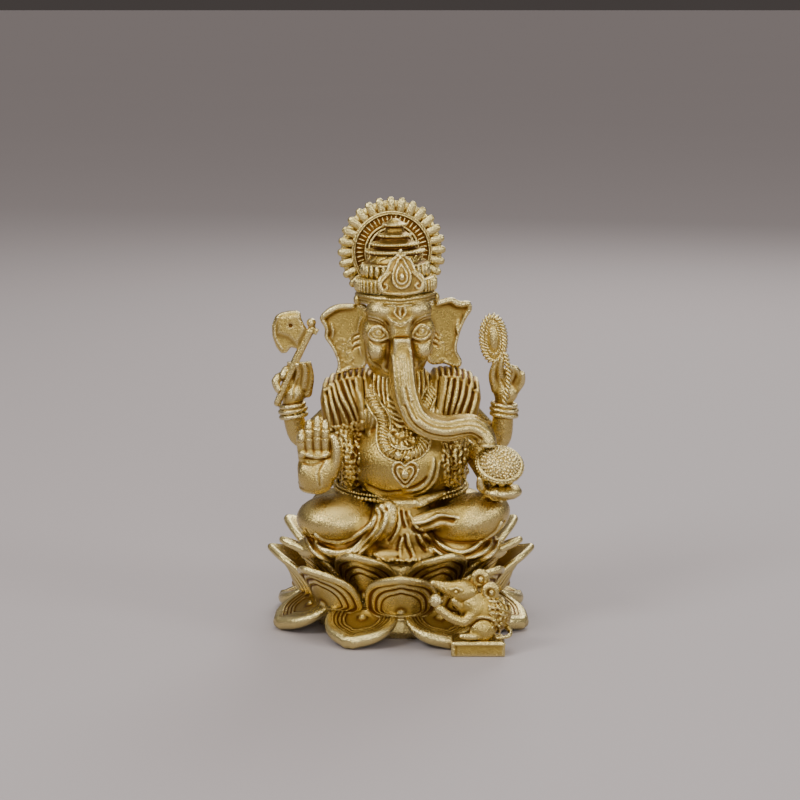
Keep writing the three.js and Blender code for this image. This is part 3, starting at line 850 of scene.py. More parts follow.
def turned(name, profile, columns=120, step=0.3, flute=None):
    """A lathe-turned closed solid about z; flute may change the radius with bearing and height."""
    profile = np.array(profile, float)
    line = smooth_path(profile, step) if step else profile
    return spun(name, line[line[:, 0] > 0.05], profile[[0, -1], 1], columns, flute)


def beside(points, distance):
    """A line in x and z moved sideways."""
    line = smooth_path(np.array(points, float), 0.8)
    run = np.gradient(line, axis=0)
    run /= np.linalg.norm(run, axis=1, keepdims=True)
    return line + distance * np.column_stack([-run[:, 1], run[:, 0]])


def mirror(side, points):
    """Points drawn on the left, and turned over to the right when side is -1."""
    points = np.array(points, float)
    points[:, 0] *= side
    return points


# ---- the body, set out from the middle of the lotus seat ----
def torso():
    """Chest, round belly, hips and back."""
    clay = Clay((-14.8, -14.4, -0.4), (14.8, 12.6, 37.5), BODY_CELL)
    clay.add(ball((0, 3.6, 8.2), (12.4, 8.4, 8.2)))
    clay.add(ball((0, 3.0, 20.0), (9.4, 7.4, 12.0)), 3.0)
    clay.add(ball((0, 4.2, 15.5), (13.6, 5.6, 12.5)), 2.0)
    clay.add(ball((0.6, -3.4, 18.5), (10.9, 10.1, 8.9)), 2.0)
    clay.add(ball((0, 0.6, 28.8), (10.6, 7.2, 7.4)), 2.5)
    clay.add(ball((0, 4.4, 1.8), (12.2, 7.2, 3.2)), 1.2)
    clay.add(cord([(-0.2, 0.4, 31), (-0.6, -0.4, 36)], (6.2, 4.8)), 2.5)
    for side in (-1, 1):
        clay.add(ball((side * 3.9, -5.4, 27.4), (4.3, 2.2, 3.4), (12, 0, side * 8)), 1.4)
    # folds under the belly
    clay.groove([(-6.6, 14.6), (-3.4, 13.6), (-1.5, 13.7), (0.4, 14.1), (2.2, 14.7), (3.9, 15.6),
                 (5.2, 16.8)], 0.34, 0.5)
    clay.ridge([(-6.6, 13.6), (-3.2, 12.5), (-0.4, 12.4), (2.2, 12.9), (4.6, 13.9), (6.4, 15.4)],
               (0.1, 0.5, 0.5, 0.1), 0.8)
    clay.ridge([(6.4, 20.4), (6.2, 18.4), (4.9, 15.6), (2.6, 14.2), (0.4, 14.3)], (0.1, 0.42, 0.42, 0.1),
               0.6)
    clay.ridge([(7.6, 19.6), (6.8, 16.4), (5.2, 14.4)], (0.1, 0.36, 0.1), 0.5)
    clay.add(cord([(-4.2, -11.0, 12.2), (-1.4, -13.1, 11.6), (1.8, -13.3, 11.6), (5.0, -12.2, 12.2),
                   (8.4, -9.6, 13.0)],
                  (0.5, 1.1, 1.2, 1.1, 0.6)), 0.6)
    clay.grains([(-3.4, 11.0), (5.2, 11.0), (5.6, 12.4), (-3.6, 12.4)], 46, 0.32, 10)
    # necklaces on the chest
    for drop, wide in ((31.4, 6.4), (30.4, 6.0), (29.3, 5.6), (28.3, 5.2), (27.3, 4.8), (26.3, 4.4)):
        clay.ridge([(-wide, drop + 3.4), (-wide * 0.6, drop + 0.7), (0.3, drop - 1.2),
                    (wide * 0.62, drop + 0.7),
                    (wide, drop + 3.4)], 0.28, 0.25)
    for side in (-1, 1):
        for shift in (0, 1.1, 2.1):
            clay.ridge(mirror(side, [(8.2 - shift, 33.6), (7.6 - shift, 30.6), (7.0 - 0.7 * shift, 27.6),
                                     (6.9 - 0.3 * shift, 24.4)]), (0.2, 0.34, 0.2), 0.3)
        for reach in (2.6, 3.4, 4.3, 5.2):
            clay.ridge(mirror(side, [(reach, 37.0), (reach + 0.2, 33.4), (reach * 0.94, 30.0)]),
                       (0.2, 0.34, 0.16), 0.2)
            clay.groove(mirror(side, [(reach + 0.42, 37.0), (reach + 0.6, 33.4), (reach, 30.4)]), 0.2, 0.2)
    clay.grains([(-3.6, 21.8), (4.0, 21.8), (4.2, 26.6), (-3.4, 26.6)], 150, 0.3, 4)
    # the wrap that comes down on both sides of the belly
    for side in (-1, 1):
        clay.add(ball((side * 10.6, -3.6, 19.5), (2.8, 4.6, 6.6), (0, side * 8, 0)), 0.8)
        for k in range(5):
            start, end = side * (13.0 - 1.1 * k), side * (12.2 - 0.75 * k)
            clay.ridge([(start, 26), (side * (12.4 - 0.8 * k), 20), (end, 13.5)], (0.36, 0.3, 0.36), 0.3)
    clay.grains([(-13.6, 12.4), (-8.4, 12.4), (-8.0, 24.5), (-13.8, 24.5)], 260, 0.36, 1)
    clay.grains([(8.6, 12.4), (13.8, 12.4), (13.8, 24.5), (8.0, 24.5)], 260, 0.36, 2)
    clay.grains([(-11, 12), (-6, 11.0), (-6, 13.2), (-11, 14.4)], 70, 0.4, 3)
    # the back: a swagged cloth over the shoulders, spine and waist folds
    clay.groove([(0, 24), (0, 19), (0, 13)], 0.7, 2.0, back=True)
    for k in range(6):
        sag = 33.6 - 1.9 * k
        wide = 10.4 - 0.5 * k
        clay.groove([(-wide, sag + 0.6), (-wide * 0.5, sag - 1.7), (0, sag - 2.5), (wide * 0.5, sag - 1.7),
                     (wide, sag + 0.6)],
                    0.3, 0.4, back=True)
        clay.ridge([(-wide, sag), (-wide * 0.5, sag - 2.4), (0, sag - 3.3), (wide * 0.5, sag - 2.4),
                    (wide, sag)],
                   (0.3, 0.46, 0.3), 0.35, back=True)
    for fall in (0, 1.5, 3.0, 4.5):
        clay.groove([(-10.4, 13.4 - fall), (-5, 11.4 - fall), (0, 10.8 - fall), (5, 11.4 - fall),
                     (10.4, 13.4 - fall)],
                    0.3, 0.6, back=True)
    for k in range(5):
        for side in (-1, 1):
            clay.ridge(mirror(side, [(1.4 + 2.2 * k, 8.4), (1.9 + 2.3 * k, 4.8), (2.3 + 2.3 * k, 1.0)]),
                       (0.2, 0.4, 0.3), 0.4, back=True)
    clay.below(0.3)
    sculpted("torso_cast", clay, SEAT, ["torso"], CAST)
    return clay


def hems(clay, hem, outer):
    """The rolled hem over the shin and the edge of cloth by the seat, each with a groove beside it."""
    clay.groove(beside(hem, -0.85), 0.55, 0.5)
    clay.ridge(hem, 0.46, 0.15)
    clay.ridge(outer, 0.36, 0.2)
    clay.groove(beside(outer, 0.75), 0.3, 0.4)


def thigh_folds(clay, side, reach):
    """Folds down the outer side and the back of a leg."""
    for k in range(4):
        clay.across(mirror(side, [(reach, -6 + 3.4 * k, 9.6), (reach, -3 + 3.4 * k, 6.0),
                                  (reach, -1.5 + 3.4 * k, 2.0)]), (-side, 0, 0), 0.34, 0.6)
    for k in range(5):
        clay.across(mirror(side, [(15.6 - 2.1 * k, 13.5, 9.4), (15.0 - 2.1 * k, 13.5, 5.5),
                                  (14.2 - 2.0 * k, 13.5, 1.5)]), (0, -1, 0), 0.38, 0.7)
    clay.below(0.25)


def legs():
    """The crossed legs in their drawn lower garment."""
    right = Clay((-21.4, -18.0, -0.6), (0.2, 11.6, 15.4))
    right.add(ball((-12.2, -8.6, 7.5), (8.5, 7.7, 5.0), (0, 4, 12)))
    right.add(ball((-10.4, 1.6, 6.4), (8.6, 9.4, 5.4), (0, 0, 14)), 2.0)
    right.add(ball((-11.6, -9.2, 2.4), (9.2, 6.9, 3.4), (0, -4, -6)), 0.4)
    right.add(cord([(-6.5, -13.6, 5.8), (-3.2, -14.6, 7.8), (-2.4, -14.0, 10.4)], (2.4, 2.6, 2.2)), 1.6)
    hem = [(-16.6, 5.9), (-15.3, 5.0), (-13.9, 4.6), (-12.5, 4.4), (-10.8, 4.7), (-9.0, 5.6), (-7.3, 6.9),
           (-5.9, 8.3), (-5.1, 9.8), (-4.4, 11.1), (-3.7, 11.8)]
    outer = [(-19.4, 6.2), (-18.6, 4.3), (-17.2, 2.5), (-15.3, 0.9), (-13.6, -0.1)]
    hems(right, hem, outer)
    for shift, thick in ((0, 0.42), (1.2, 0.34), (2.2, 0.3)):
        right.ridge([(-3.9 - shift, 11.6), (-2.9 - shift, 10.0), (-3.5 - shift, 7.8), (-4.7 - shift, 6.0),
                     (-6.3 - shift, 4.0), (-8.2 - shift, 2.2)], thick, 0.35)
    thigh_folds(right, -1, 20.5)
    sculpted("right_leg_cast", right, SEAT, ["right_leg"], LIT_PALE_GOLD)

    left = Clay((0.2, -18.0, -0.6), (22.6, 11.6, 15.4))
    left.add(ball((13.4, -8.4, 7.3), (8.6, 7.6, 5.1), (0, -22, -12)))
    left.add(ball((10.4, 1.6, 6.4), (8.6, 9.4, 5.4), (0, 0, -14)), 2.0)
    left.add(ball((12.0, -9.2, 2.2), (9.2, 6.9, 3.2), (0, 4, 6)), 0.4)
    left.add(cord([(1.8, -14.4, 8.2), (5.0, -14.6, 8.6), (8.6, -13.4, 9.2), (12, -11.4, 9.6)],
                  (1.3, 1.9, 2.0, 1.4)), 1.8)
    hem = [(5.2, 6.4), (6.1, 5.2), (7.1, 4.3), (8.9, 3.3), (10.9, 2.7), (12.6, 2.7), (14.4, 3.4),
           (16.1, 4.5),
           (18.4, 6.2), (19.6, 8.0)]
    outer = [(13.5, -0.4), (15.2, 0.2), (16.8, 1.0), (18.2, 2.2), (19.6, 4.0), (20.4, 5.4)]
    hems(left, hem, outer)
    left.ridge([(2.3, 8.3), (4.6, 8.8), (6.4, 9.6), (7.8, 10.0), (9.6, 9.6), (11.3, 9.4)], (0.3, 0.45, 0.2),
               0.3)
    left.groove([(3.2, 7.4), (5.4, 8.0), (7.6, 9.0), (10.0, 8.8)], 0.4, 0.6)
    left.ridge([(1.6, 5.6), (2.1, 3.8), (3.0, 1.8)], 0.42, 0.4)
    left.ridge([(3.7, 5.8), (4.4, 4.2), (5.9, 2.2)], 0.42, 0.4)
    left.ridge([(5.4, 4.8), (6.6, 3.0), (8.6, 1.4)], 0.34, 0.4)
    thigh_folds(left, 1, 21.8)
    sculpted("left_leg_cast", left, SEAT, ["left_leg"], LIT_PALE_GOLD)


def belt():
    """The beaded girdle that lies round the hips, over the thighs."""
    bearing = np.linspace(0, 2 * math.pi, 90, endpoint=False)
    parts = []
    for wide, deep, height, size in ((13.3, 11.2, 12.5, 0.85), (13.0, 10.9, 13.3, 0.62)):
        sag = 0.9 * np.cos(bearing)
        line = np.column_stack([wide * np.sin(bearing), 0.4 - deep * np.cos(bearing), height - sag])
        out = np.column_stack([np.sin(bearing), -np.cos(bearing), 0.5 + 0 * bearing])
        parts.append(row(line + SEAT, out, BEAD, int(BELT_BEADS / size), size, closed=True))
    piece("girdle", merged("girdle", *parts), None, SHADED_DEEP_GOLD)


def lap_cloth():
    """The pleated end of the garment that falls between the legs, with the toes under its hem."""
    clay = Clay((-8.4, -19.2, -0.6), (8.4, -5.6, 14.0), CLOTH_CELL)
    clay.add(ball((0.2, -9.4, 5.6), (6.6, 7.6, 7.6)))
    clay.add(ball((0, -11.6, 1.6), (7.6, 6.0, 2.4)), 1.6)
    clay.add(ball((-2.2, -16.2, 1.9), (3.4, 1.9, 1.3), (0, 8, 6)), 0.8)
    clay.add(ball((1.9, -15.8, 1.4), (2.6, 1.7, 1.1)), 0.8)
    for line, thick in (
        ([(-2.6, 12.0), (-3.2, 10.6), (-4.2, 8.6), (-5.6, 6.2), (-7.6, 3.6)], 0.4),
        ([(-1.4, 11.4), (-1.6, 9.6), (-2.2, 7.6), (-3.4, 5.6)], 0.5),
        ([(-0.6, 11.6), (-0.2, 9.4), (-0.6, 7.2), (-2.0, 4.8)], 0.42),
        ([(0.6, 10.8), (0.9, 9.4), (1.2, 8.0)], 0.5),
        ([(1.6, 10.6), (1.9, 9.2), (2.9, 7.6), (4.8, 6.6)], 0.4),
        ([(2.2, 9.4), (2.9, 7.9), (4.4, 6.9), (6.4, 6.6)], 0.32),
        ([(1.3, 6.2), (1.6, 4.4), (2.6, 2.2)], 0.44), ([(3.6, 6.0), (4.1, 4.6), (5.2, 3.2)], 0.46),
        ([(4.9, 6.0), (5.6, 4.9), (6.4, 4.2)], 0.3), ([(0.3, 5.6), (-0.2, 4.0), (-0.1, 2.2)], 0.34),
    ):
        clay.groove(beside(line, -0.55), 0.3, 0.4)
        clay.ridge(line, (0.5 * thick, thick, 0.4 * thick), 0.25)
    for k in range(5):
        clay.groove([(0.7 + 0.42 * k, 10.4 - 0.3 * k), (1.4 + 0.42 * k, 9.4 - 0.2 * k),
                     (1.6 + 0.5 * k, 8.4 - 0.2 * k)], 0.14, 0.1)
    clay.add(ball((-2.2, -16.4, 2.6), (2.4, 1.6, 0.9), (0, 4, 0)), 0.4)
    clay.grains([(-4.6, 0.6), (3.2, 0.6), (4.2, 1.8), (-5.2, 1.8)], 60, 0.3, 9)
    clay.below(-0.1)
    sculpted("lap_cloth_cast", clay, SEAT, ["lap_cloth"], SHADED_DEEP_GOLD)


# ---- garments and ornaments on the chest ----
SASH = [(-7, 36.0), (-6.8, 33.2), (-5.3, 30.4), (-3.6, 28.0), (-3.4, 26.0), (-3.5, 24.0), (-2.6, 22.2),
        (-0.6, 21.4),
        (1.2, 21.4), (3.2, 22.0), (4.6, 23.8), (4.4, 26.4), (4.4, 29.2), (5.2, 31.0), (6.4, 33.2),
        (7.1, 35.8)]
STRAND = bead_element("strand", (0.27, 1.3, 0.56), 8, 6, skew=0.45)
ROPE_TURN = bead_element("rope turn", (0.46, 0.72, 0.72), 10, 6, skew=0.7)
BEAD = bead_element("bead", (0.5, 0.5, 0.5), 10, 7)
RIB = bead_element("rib", (0.3, 0.36, 1.3), 8, 6, square=2.6)
DROP = bead_element("drop", (0.66, 0.62, 1.35), 10, 7, keel=0.15)
TOOTH = bead_element("tooth", (0.86, 0.66, 1.75), 16, 11, square=2.9)
GRAIN = bead_element("rice grain", (0.2, 0.26, 0.85), 8, 6)


def garland(chest):
    """The flat twisted garland that hangs in a loop, with its clasp."""
    path = chest.front(SASH, 0.6)
    path = smooth_path(path[::2], 0.6) + (0, -0.35, 0)
    lift = np.gradient(path, axis=0)
    lift = np.cross(lift, np.cross((0, -1.0, 0), lift))
    lift /= np.linalg.norm(lift, axis=1, keepdims=True)
    lift *= np.sign(-lift[:, 1:2])
    along = np.gradient(path, axis=0)
    side = np.cross(along, lift)
    side /= np.linalg.norm(side, axis=1, keepdims=True)
    clay = Clay(path.min(0) - 2.4, path.max(0) + 2.4, CLOTH_CELL)
    clay.add(cord(path[::2] + lift[::2] * -0.8, 1.15), 0.2)
    for edge, thick in ((-1.3, 0.26), (1.3, 0.3)):
        clay.add(cord((path + side * edge)[::2], thick), 0.1)
    clay.add(ball(path[len(path) // 2 - 1] + (0, -0.5, 0.1), (0.9, 0.7, 0.9)), 0.2)
    clay.add(ball(path[len(path) // 2 + 2] + (0, -0.5, -0.4), (0.7, 0.7, 0.6)), 0.2)
    strip = mesh_of("strip", *clay.faces(SEAT))
    length = np.linalg.norm(np.diff(path, axis=0), axis=1).sum()
    twists = row(path + SEAT + lift * 0.12, lift, STRAND, int(length / 0.8))
    piece("garland_cast", merged("garland_cast", strip, twists), ["garland"], CAST)


def pendant(chest):
    """The heart that hangs under the garland."""
    heart = np.array([(0, 1.3), (0.9, 2.1), (2.0, 2.0), (2.6, 0.9), (2.1, -0.6), (1.1, -1.9), (0, -3.0)])
    outline = np.vstack([heart, (heart[1:-1] * (-1, 1))[::-1]])
    at = np.array([middle("pendant")[0], middle("pendant")[2] + 0.4]) - SEAT[[0, 2]]
    bed = chest.front([at, at + (0.01, 0.01)])[0][1]
    clay = Clay((at[0] - 3.4, bed - 2.2, at[1] - 4.0), (at[0] + 3.4, bed + 3.0, at[1] + 3.2), FINE_CELL)
    clay.add(slab(smooth_path(outline + at, 0.5, True)[::2], bed - 0.8, bed + 2.4, 0.4))
    clay.add(ball((at[0], bed + 0.6, at[1] - 0.1), (2.4, 1.9, 2.6)), 0.5)
    for size, thick in ((0.98, 0.3), (0.62, 0.26)):
        clay.ridge(outline * size + at, thick, 0.15, closed=True)
    clay.groove(outline * 0.80 + at, 0.2, 0.2, closed=True)
    clay.add(ball((at[0], bed - 1.3, at[1] - 0.2), (0.8, 0.6, 0.9)), 0.3)
    sculpted("pendant_cast", clay, SEAT, ["pendant"], LIT_PALE_GOLD)


SHAWL = {
    "right": [(-5.6, 35.6), (-7.6, 36.4), (-9.6, 35.9), (-11.5, 35.4), (-13.8, 34.9), (-15.8, 33.6),
              (-16.2, 30.4), (-15.6, 26.4),
              (-14.2, 22.6), (-11.6, 20.0), (-8.8, 20.0), (-7.2, 22.6), (-6.2, 26.0), (-5.9, 30.4)],
    "left": [(5.8, 35.6), (7.4, 36.4), (8.8, 36.3), (10.6, 36.3), (12.2, 35.9), (13.9, 35.6), (15.8, 34.2),
             (16.0, 30.6),
             (15.0, 26.4), (12.6, 24.4), (9.8, 24.0), (7.2, 25.4), (6.4, 30.0)],
}
PLEATS = {
    "right": [
        [(-15.4, 33.2), (-14.9, 30.6), (-14.3, 27.6), (-13.8, 24.6)],
        [(-14.4, 33.6), (-13.7, 30.6), (-12.9, 27.8), (-12.4, 25.6)],
        [(-13.6, 34.2), (-12.6, 31.0), (-11.3, 28.2), (-10.6, 26.2)],
        [(-12.7, 34.4), (-11.6, 31.6), (-10.2, 29.0), (-9.3, 26.6)],
        [(-11.4, 34.8), (-10.4, 32.4), (-9.2, 29.4), (-8.4, 26.6)],
        [(-10.1, 34.6), (-9.3, 32.0), (-8.3, 29.0), (-7.7, 26.4)],
        [(-8.9, 35.0), (-8.5, 32.4), (-8.0, 30.0), (-7.7, 27.6)],
    ],
    "left": [
        [(15.2, 33.6), (14.8, 31.2), (14.0, 28.6), (13.2, 26.4)],
        [(13.9, 34.4), (13.4, 31.6), (12.5, 29.0), (11.9, 27.0)],
        [(12.6, 34.8), (12.1, 32.0), (11.2, 29.4), (10.5, 27.0)],
        [(11.3, 35.2), (10.9, 32.4), (10.2, 29.6), (9.6, 27.0)],
        [(10.0, 35.0), (9.5, 32.4), (9.0, 29.8), (8.6, 27.2)],
        [(8.9, 35.2), (8.6, 32.6), (8.2, 30.2), (7.9, 28.0)],
    ],
}


def shawls():
    """The pleated cloths over the shoulders."""
    for side, name in ((-1, "right"), (1, "left")):
        node = f"{name}_shawl"
        clay = Clay(low(node) - SEAT - (1.2, 1.2, 1.0), high(node) - SEAT + (1.2, 1.2, 1.0), CLOTH_CELL)
        clay.add(ball((side * 9.9, 0.6, 28.4), (7.2, 7.1, 9.0), (0, -side * 12, 0)))
        top = high(node)[2] - SEAT[2]
        foot = low(node)[2] - SEAT[2]
        for k, pleat in enumerate(PLEATS[name]):
            clay.groove(np.array(pleat) - (side * 0.62, 0), (0.3, 0.42, 0.2), 0.25)
            clay.ridge(pleat, (0.34, 0.5 - 0.06 * (k % 3), 0.16), 0.25)
        if name == "right":
            clay.grains([(-14.4, 20.4), (-8.0, 20.4), (-7.6, 26.6), (-14.6, 25.6)], 200, 0.34, 5)
        else:
            clay.grains([(7.6, 24.2), (14.0, 24.2), (14.6, 26.6), (7.4, 27.0)], 110, 0.34, 6)
        # lapel along the garland
        lapel = mirror(side, [(8.2, 35.0), (7.9, 31.4), (7.6, 28.4), (7.6, 25.4)])
        clay.ridge(lapel, (0.5, 0.62, 0.5), 0.5)
        clay.groove(np.array(lapel) - (side * 0.9, 0), 0.24, 0.25)
        for k in range(7):
            start, end = side * (15.4 - 1.4 * k), side * (13.4 - 1.3 * k)
            clay.ridge([(start * 0.9, top - 1.0), ((start + end) / 2, (top + foot) / 2), (end, foot + 1.2)],
                       0.55, 0.4, back=True)
        for k in range(5):
            clay.across(mirror(side, [(18, -3.5 + 2.2 * k, top - 2.5),
                                      (18, -2.6 + 2.2 * k, (top + foot) / 2),
                                      (18, -1.8 + 2.0 * k, foot + 2.0)]), (-side, 0, 0), 0.4, 0.4)
        clay.keep(slab(SHAWL[name], -11, 11, 0.8), 0.9)
        for k in range(8):
            reach = side * (7.0 + 1.15 * k)
            clay.across([(reach + side * 0.2, -3.6, 38.2), (reach, 0, 38.2), (reach - side * 0.4, 3.5, 38.2),
                         (reach, 7.0, 38.2)],
                        (0, 0, -1), (0.3, 0.42, 0.3), 0.3)
            clay.across([(reach + side * 0.7, -3.4, 38.2), (reach + side * 0.6, 1.6, 38.2),
                         (reach + side * 0.6, 6.6, 38.2)],
                        (0, 0, -1), 0.24, 0.25, carve=True)
        sculpted(f"{name}_shawl_cast", clay, SEAT, [node], SHADED_DEEP_GOLD)


# ---- the head, set out from its middle and turned with it ----
TRUNK = [(0.1, -7.0, 2.6), (-0.1, -8.6, -0.2), (0.1, -9.8, -3.6), (0.3, -10.4, -7.1), (0.9, -10.8, -10.0),
         (2.2, -11.2, -13.0),
         (4.8, -11.7, -15), (8.1, -11.9, -15.8), (11.1, -11.8, -15.5), (13.4, -11.9, -15.5),
         (15.4, -12.1, -16.7),
         (16.2, -12.4, -18.3)]


def head():
    """The elephant's head and trunk."""
    clay = Clay((-9.6, -15.4, -20.4), (18.8, 6.4, 10.0), HEAD_CELL)
    clay.add(ball((0, -0.2, 2.4), (6.9, 7.2, 6.4)))
    clay.add(ball((0, 0.4, -1.6), (6.4, 4.6, 6.6)), 1.0)
    clay.add(ball((0, -3.2, -2.4), (4.4, 4.2, 4.6)), 1.4)
    for side in (-1, 1):
        clay.add(ball((side * 3.2, -5.1, 7.2), (3.3, 3.1, 2.6)), 0.7)
        clay.add(ball((side * 4.4, -5.1, -0.7), (2.15, 2.2, 2.2)), 0.7)
    clay.add(slab([(-2.3, 6.0), (2.3, 6.0), (1.9, 2.2), (1.5, 1.4), (-1.5, 1.4), (-1.9, 2.2)], -8.4, -4.0,
                  0.9), 1.2)
    upper, inner = np.array(TRUNK), np.array(TRUNK) + (0, 2.2, 0.2)
    clay.add(cord(inner[1:], (2.2, 2.6, 2.6, 2.5, 2.3, 2.1, 2.0)), 0.8)
    clay.add(cord(upper[1:] + (0, 0.3, 0), (1.75, 2.1, 2.3, 2.4, 2.4, 2.25, 2.05, 1.95, 1.8, 1.7, 1.75)),
             0.5)
    clay.add(slab([(-1.6, 2.3), (1.75, 2.3), (2.0, -2.6), (-1.85, -2.6)], -10.3, -6.5, 0.5), 0.3)
    for side in (-1, 1):
        # eye between fine lids, under two thin brow folds
        clay.add(ball((side * 4.3, -4.6, 2.9), (2.9, 2.2, 3.4)), 1.2)
        clay.cut(ball((side * 4.2, -7.9, 3.1), (1.7, 1.1, 0.95), (0, side * 10, 0)), 0.3)
        clay.add(ball((side * 4.2, -6.2, 3.1), (0.95, 0.8, 0.8)), 0.1)
        clay.ridge(mirror(side, [(6.2, 2.9), (5.3, 4.0), (4.2, 4.4), (3.1, 3.8), (2.4, 2.6)]), 0.22, 0.1)
        clay.ridge(mirror(side, [(6.1, 2.6), (5.3, 1.8), (4.2, 1.5), (3.1, 1.7), (2.4, 2.2)]), 0.22, 0.1)
        clay.ridge(mirror(side, [(5.5, 3.1), (4.9, 2.3), (4.2, 2.1), (3.4, 2.4), (3.0, 3.1), (3.5, 3.8),
                                 (4.3, 4.0), (5.1, 3.7)]), 0.15, 0.08, closed=True)
        clay.groove(mirror(side, [(6.0, 1.6), (5.2, 1.0), (4.2, 0.8), (3.0, 1.1)]), 0.16, 0.2)
        for drop, thick in ((0.0, 0.22), (-0.6, 0.2)):
            clay.ridge(mirror(side, [(7.0, 6.2 + drop), (6.0, 6.4 + drop), (4.4, 6.1 + drop),
                                     (3.0, 5.2 + drop), (2.2, 4.2 + drop)]), thick, 0.15)
        clay.cut(ball((side * 4.15, -7.05, 3.1), (0.3, 0.3, 0.3)), 0.08)
        # cheek folds running down to the trunk
        clay.groove(mirror(side, [(2.35, 1.2), (2.5, -1.0), (2.9, -4.0)]), 0.42, 0.4)
        clay.groove(mirror(side, [(6.3, -1.0), (5.4, -3.0), (3.9, -4.0)]), 0.26, 0.5)
    # forehead mark: an upright trident over two arcs
    clay.add(slab([(-1.7, 8.9), (1.7, 8.9), (1.5, 5.0), (-1.5, 5.0)], -7.7, -4.0, 0.7), 0.8)
    clay.ridge([(0, 8.8), (0.12, 8.0), (-0.12, 7.2), (0, 6.4)], 0.26, 0.1)
    for side in (-1, 1):
        clay.ridge([(side * 1.2, 8.7), (side * 0.9, 7.9), (side * 1.1, 7.0), (side * 0.6, 6.3), (0, 5.9)],
                   0.23, 0.1)
    for height, wide in ((5.0, 1.3), (4.5, 1.1)):
        clay.ridge([(-wide, height + 0.35), (0, height - 0.1), (wide, height + 0.35)], 0.17, 0.12)
    # trunk: a flattened face with long grooves, rings across, and an open tip
    face = np.array([(p[0], p[2]) for p in TRUNK])
    for offset, thick in ((-0.95, 0.26), (0.75, 0.2)):
        clay.groove(beside(face[4:-1], offset), thick, 0.2)
    for offset in (-0.75, -0.25, 0.25, 0.75):
        clay.groove(beside([(0, -1.4), (0.1, -3.6), (0.2, -6.6)], offset), 0.15, 0.12)
    clay.groove(beside(face[3:6], 0.1), 0.26, 0.3)
    for offset in (-1.75, 1.75):
        clay.ridge(beside(face[1:-1], offset), 0.26, 0.35)
    clay.cut(ball((16.3, -12.2, -20.0), (1.25, 1.3, 1.5)), 0.2)
    tip, _ = level_circle(1.6, 24, (16.25, -12.2, -18.9))
    clay.add(cord(tip, 0.28, closed=True), 0.15)
    # back of the head
    clay.groove([(0, 6), (0, 0), (0, -6)], 0.4, 1.2, back=True)
    sculpted("head_cast", clay, HEAD, ["skull", "trunk"], LIT_PALE_GOLD, HEAD_TURN)


EARS = {
    "right": [(-5.6, 6.4), (-8.4, 7.6), (-12.1, 7.3), (-14.9, 5.1), (-13.9, 3.2), (-14.2, 1.3),
              (-12.7, -1.2),
              (-11.5, -4.6), (-12.0, -6.5), (-9.6, -5.6), (-6.0, -4.3)],
    "left": [(6.0, 6.4), (8.5, 7.6), (11.6, 8.1), (13.1, 7.1), (15.2, 7.2), (15.5, 6.0), (14.4, 4.3),
             (13.1, 1.3),
             (12.3, -2.5), (13.5, -5.3), (12.3, -5.8), (10.3, -5.0), (6.4, -4.0)],
}


def ears():
    """The two fanned ears with rolled rims."""
    for side, name in ((-1, "right"), (1, "left")):
        outline = np.array(EARS[name])
        lowest = (outline[:, 0].min() - 1.2, -2.2, -8.0)
        highest = (outline[:, 0].max() + 1.2, 5.2, 9.6)
        clay = Clay(lowest, highest, CLOTH_CELL)
        rim = smooth_path(outline, 0.8, True)
        clay.add(slab(rim, 0.8, 2.5, 0.5))
        mid = outline.mean(0)
        clay.cut(ball((mid[0] - side * 0.6, -0.6, mid[1] + 0.4), (5.2, 1.35, 6.4)), 1.2)
        path = smooth_path(outline[1:-1], 0.8)
        edge = mid + (path - mid) * 0.94
        clay.add(cord(np.column_stack([edge[:, 0], np.full(len(edge), 1.0), edge[:, 1]])[::2],
                      (0.55, 0.75, 0.5, 0.34, 0.34, 0.45)), 0.35)
        clay.ridge(mirror(side, [(13.0, 3.8), (12.6, 2.2), (12.9, 1.0)]), (0.1, 0.3, 0.1), 0.4)
        clay.ridge(mirror(side, [(7.0, 5.0), (7.6, 3.0), (7.7, 0.4), (7.1, -2.6)]), (0.14, 0.2, 0.14), 0.3)
        for fall in (1.6, 0.6, -0.6):
            clay.groove(mirror(side, [(7.6, fall), (8.6, fall - 0.5), (8.9, fall - 1.0)]), (0.3, 0.14), 0.25)
        clay.grains(mirror(side, [(8.4, -4.6), (11.4, -4.6), (12.6, 0.4), (8.8, 1.0)]),
                    90 if side < 0 else 30, 0.13, 8)
        for fall in (4, 0, -3.4):
            clay.groove(mirror(side, [(7, fall * 0.6), (10, fall), (12.6, fall * 1.2)]), 0.3, 0.8, back=True)
        lean = HEAD_TURN @ Euler((0, 0, math.radians(side * 8))).to_matrix()
        sculpted(f"{name}_ear_cast", clay, HEAD, [f"{name}_ear"], LIT_PALE_GOLD, lean)


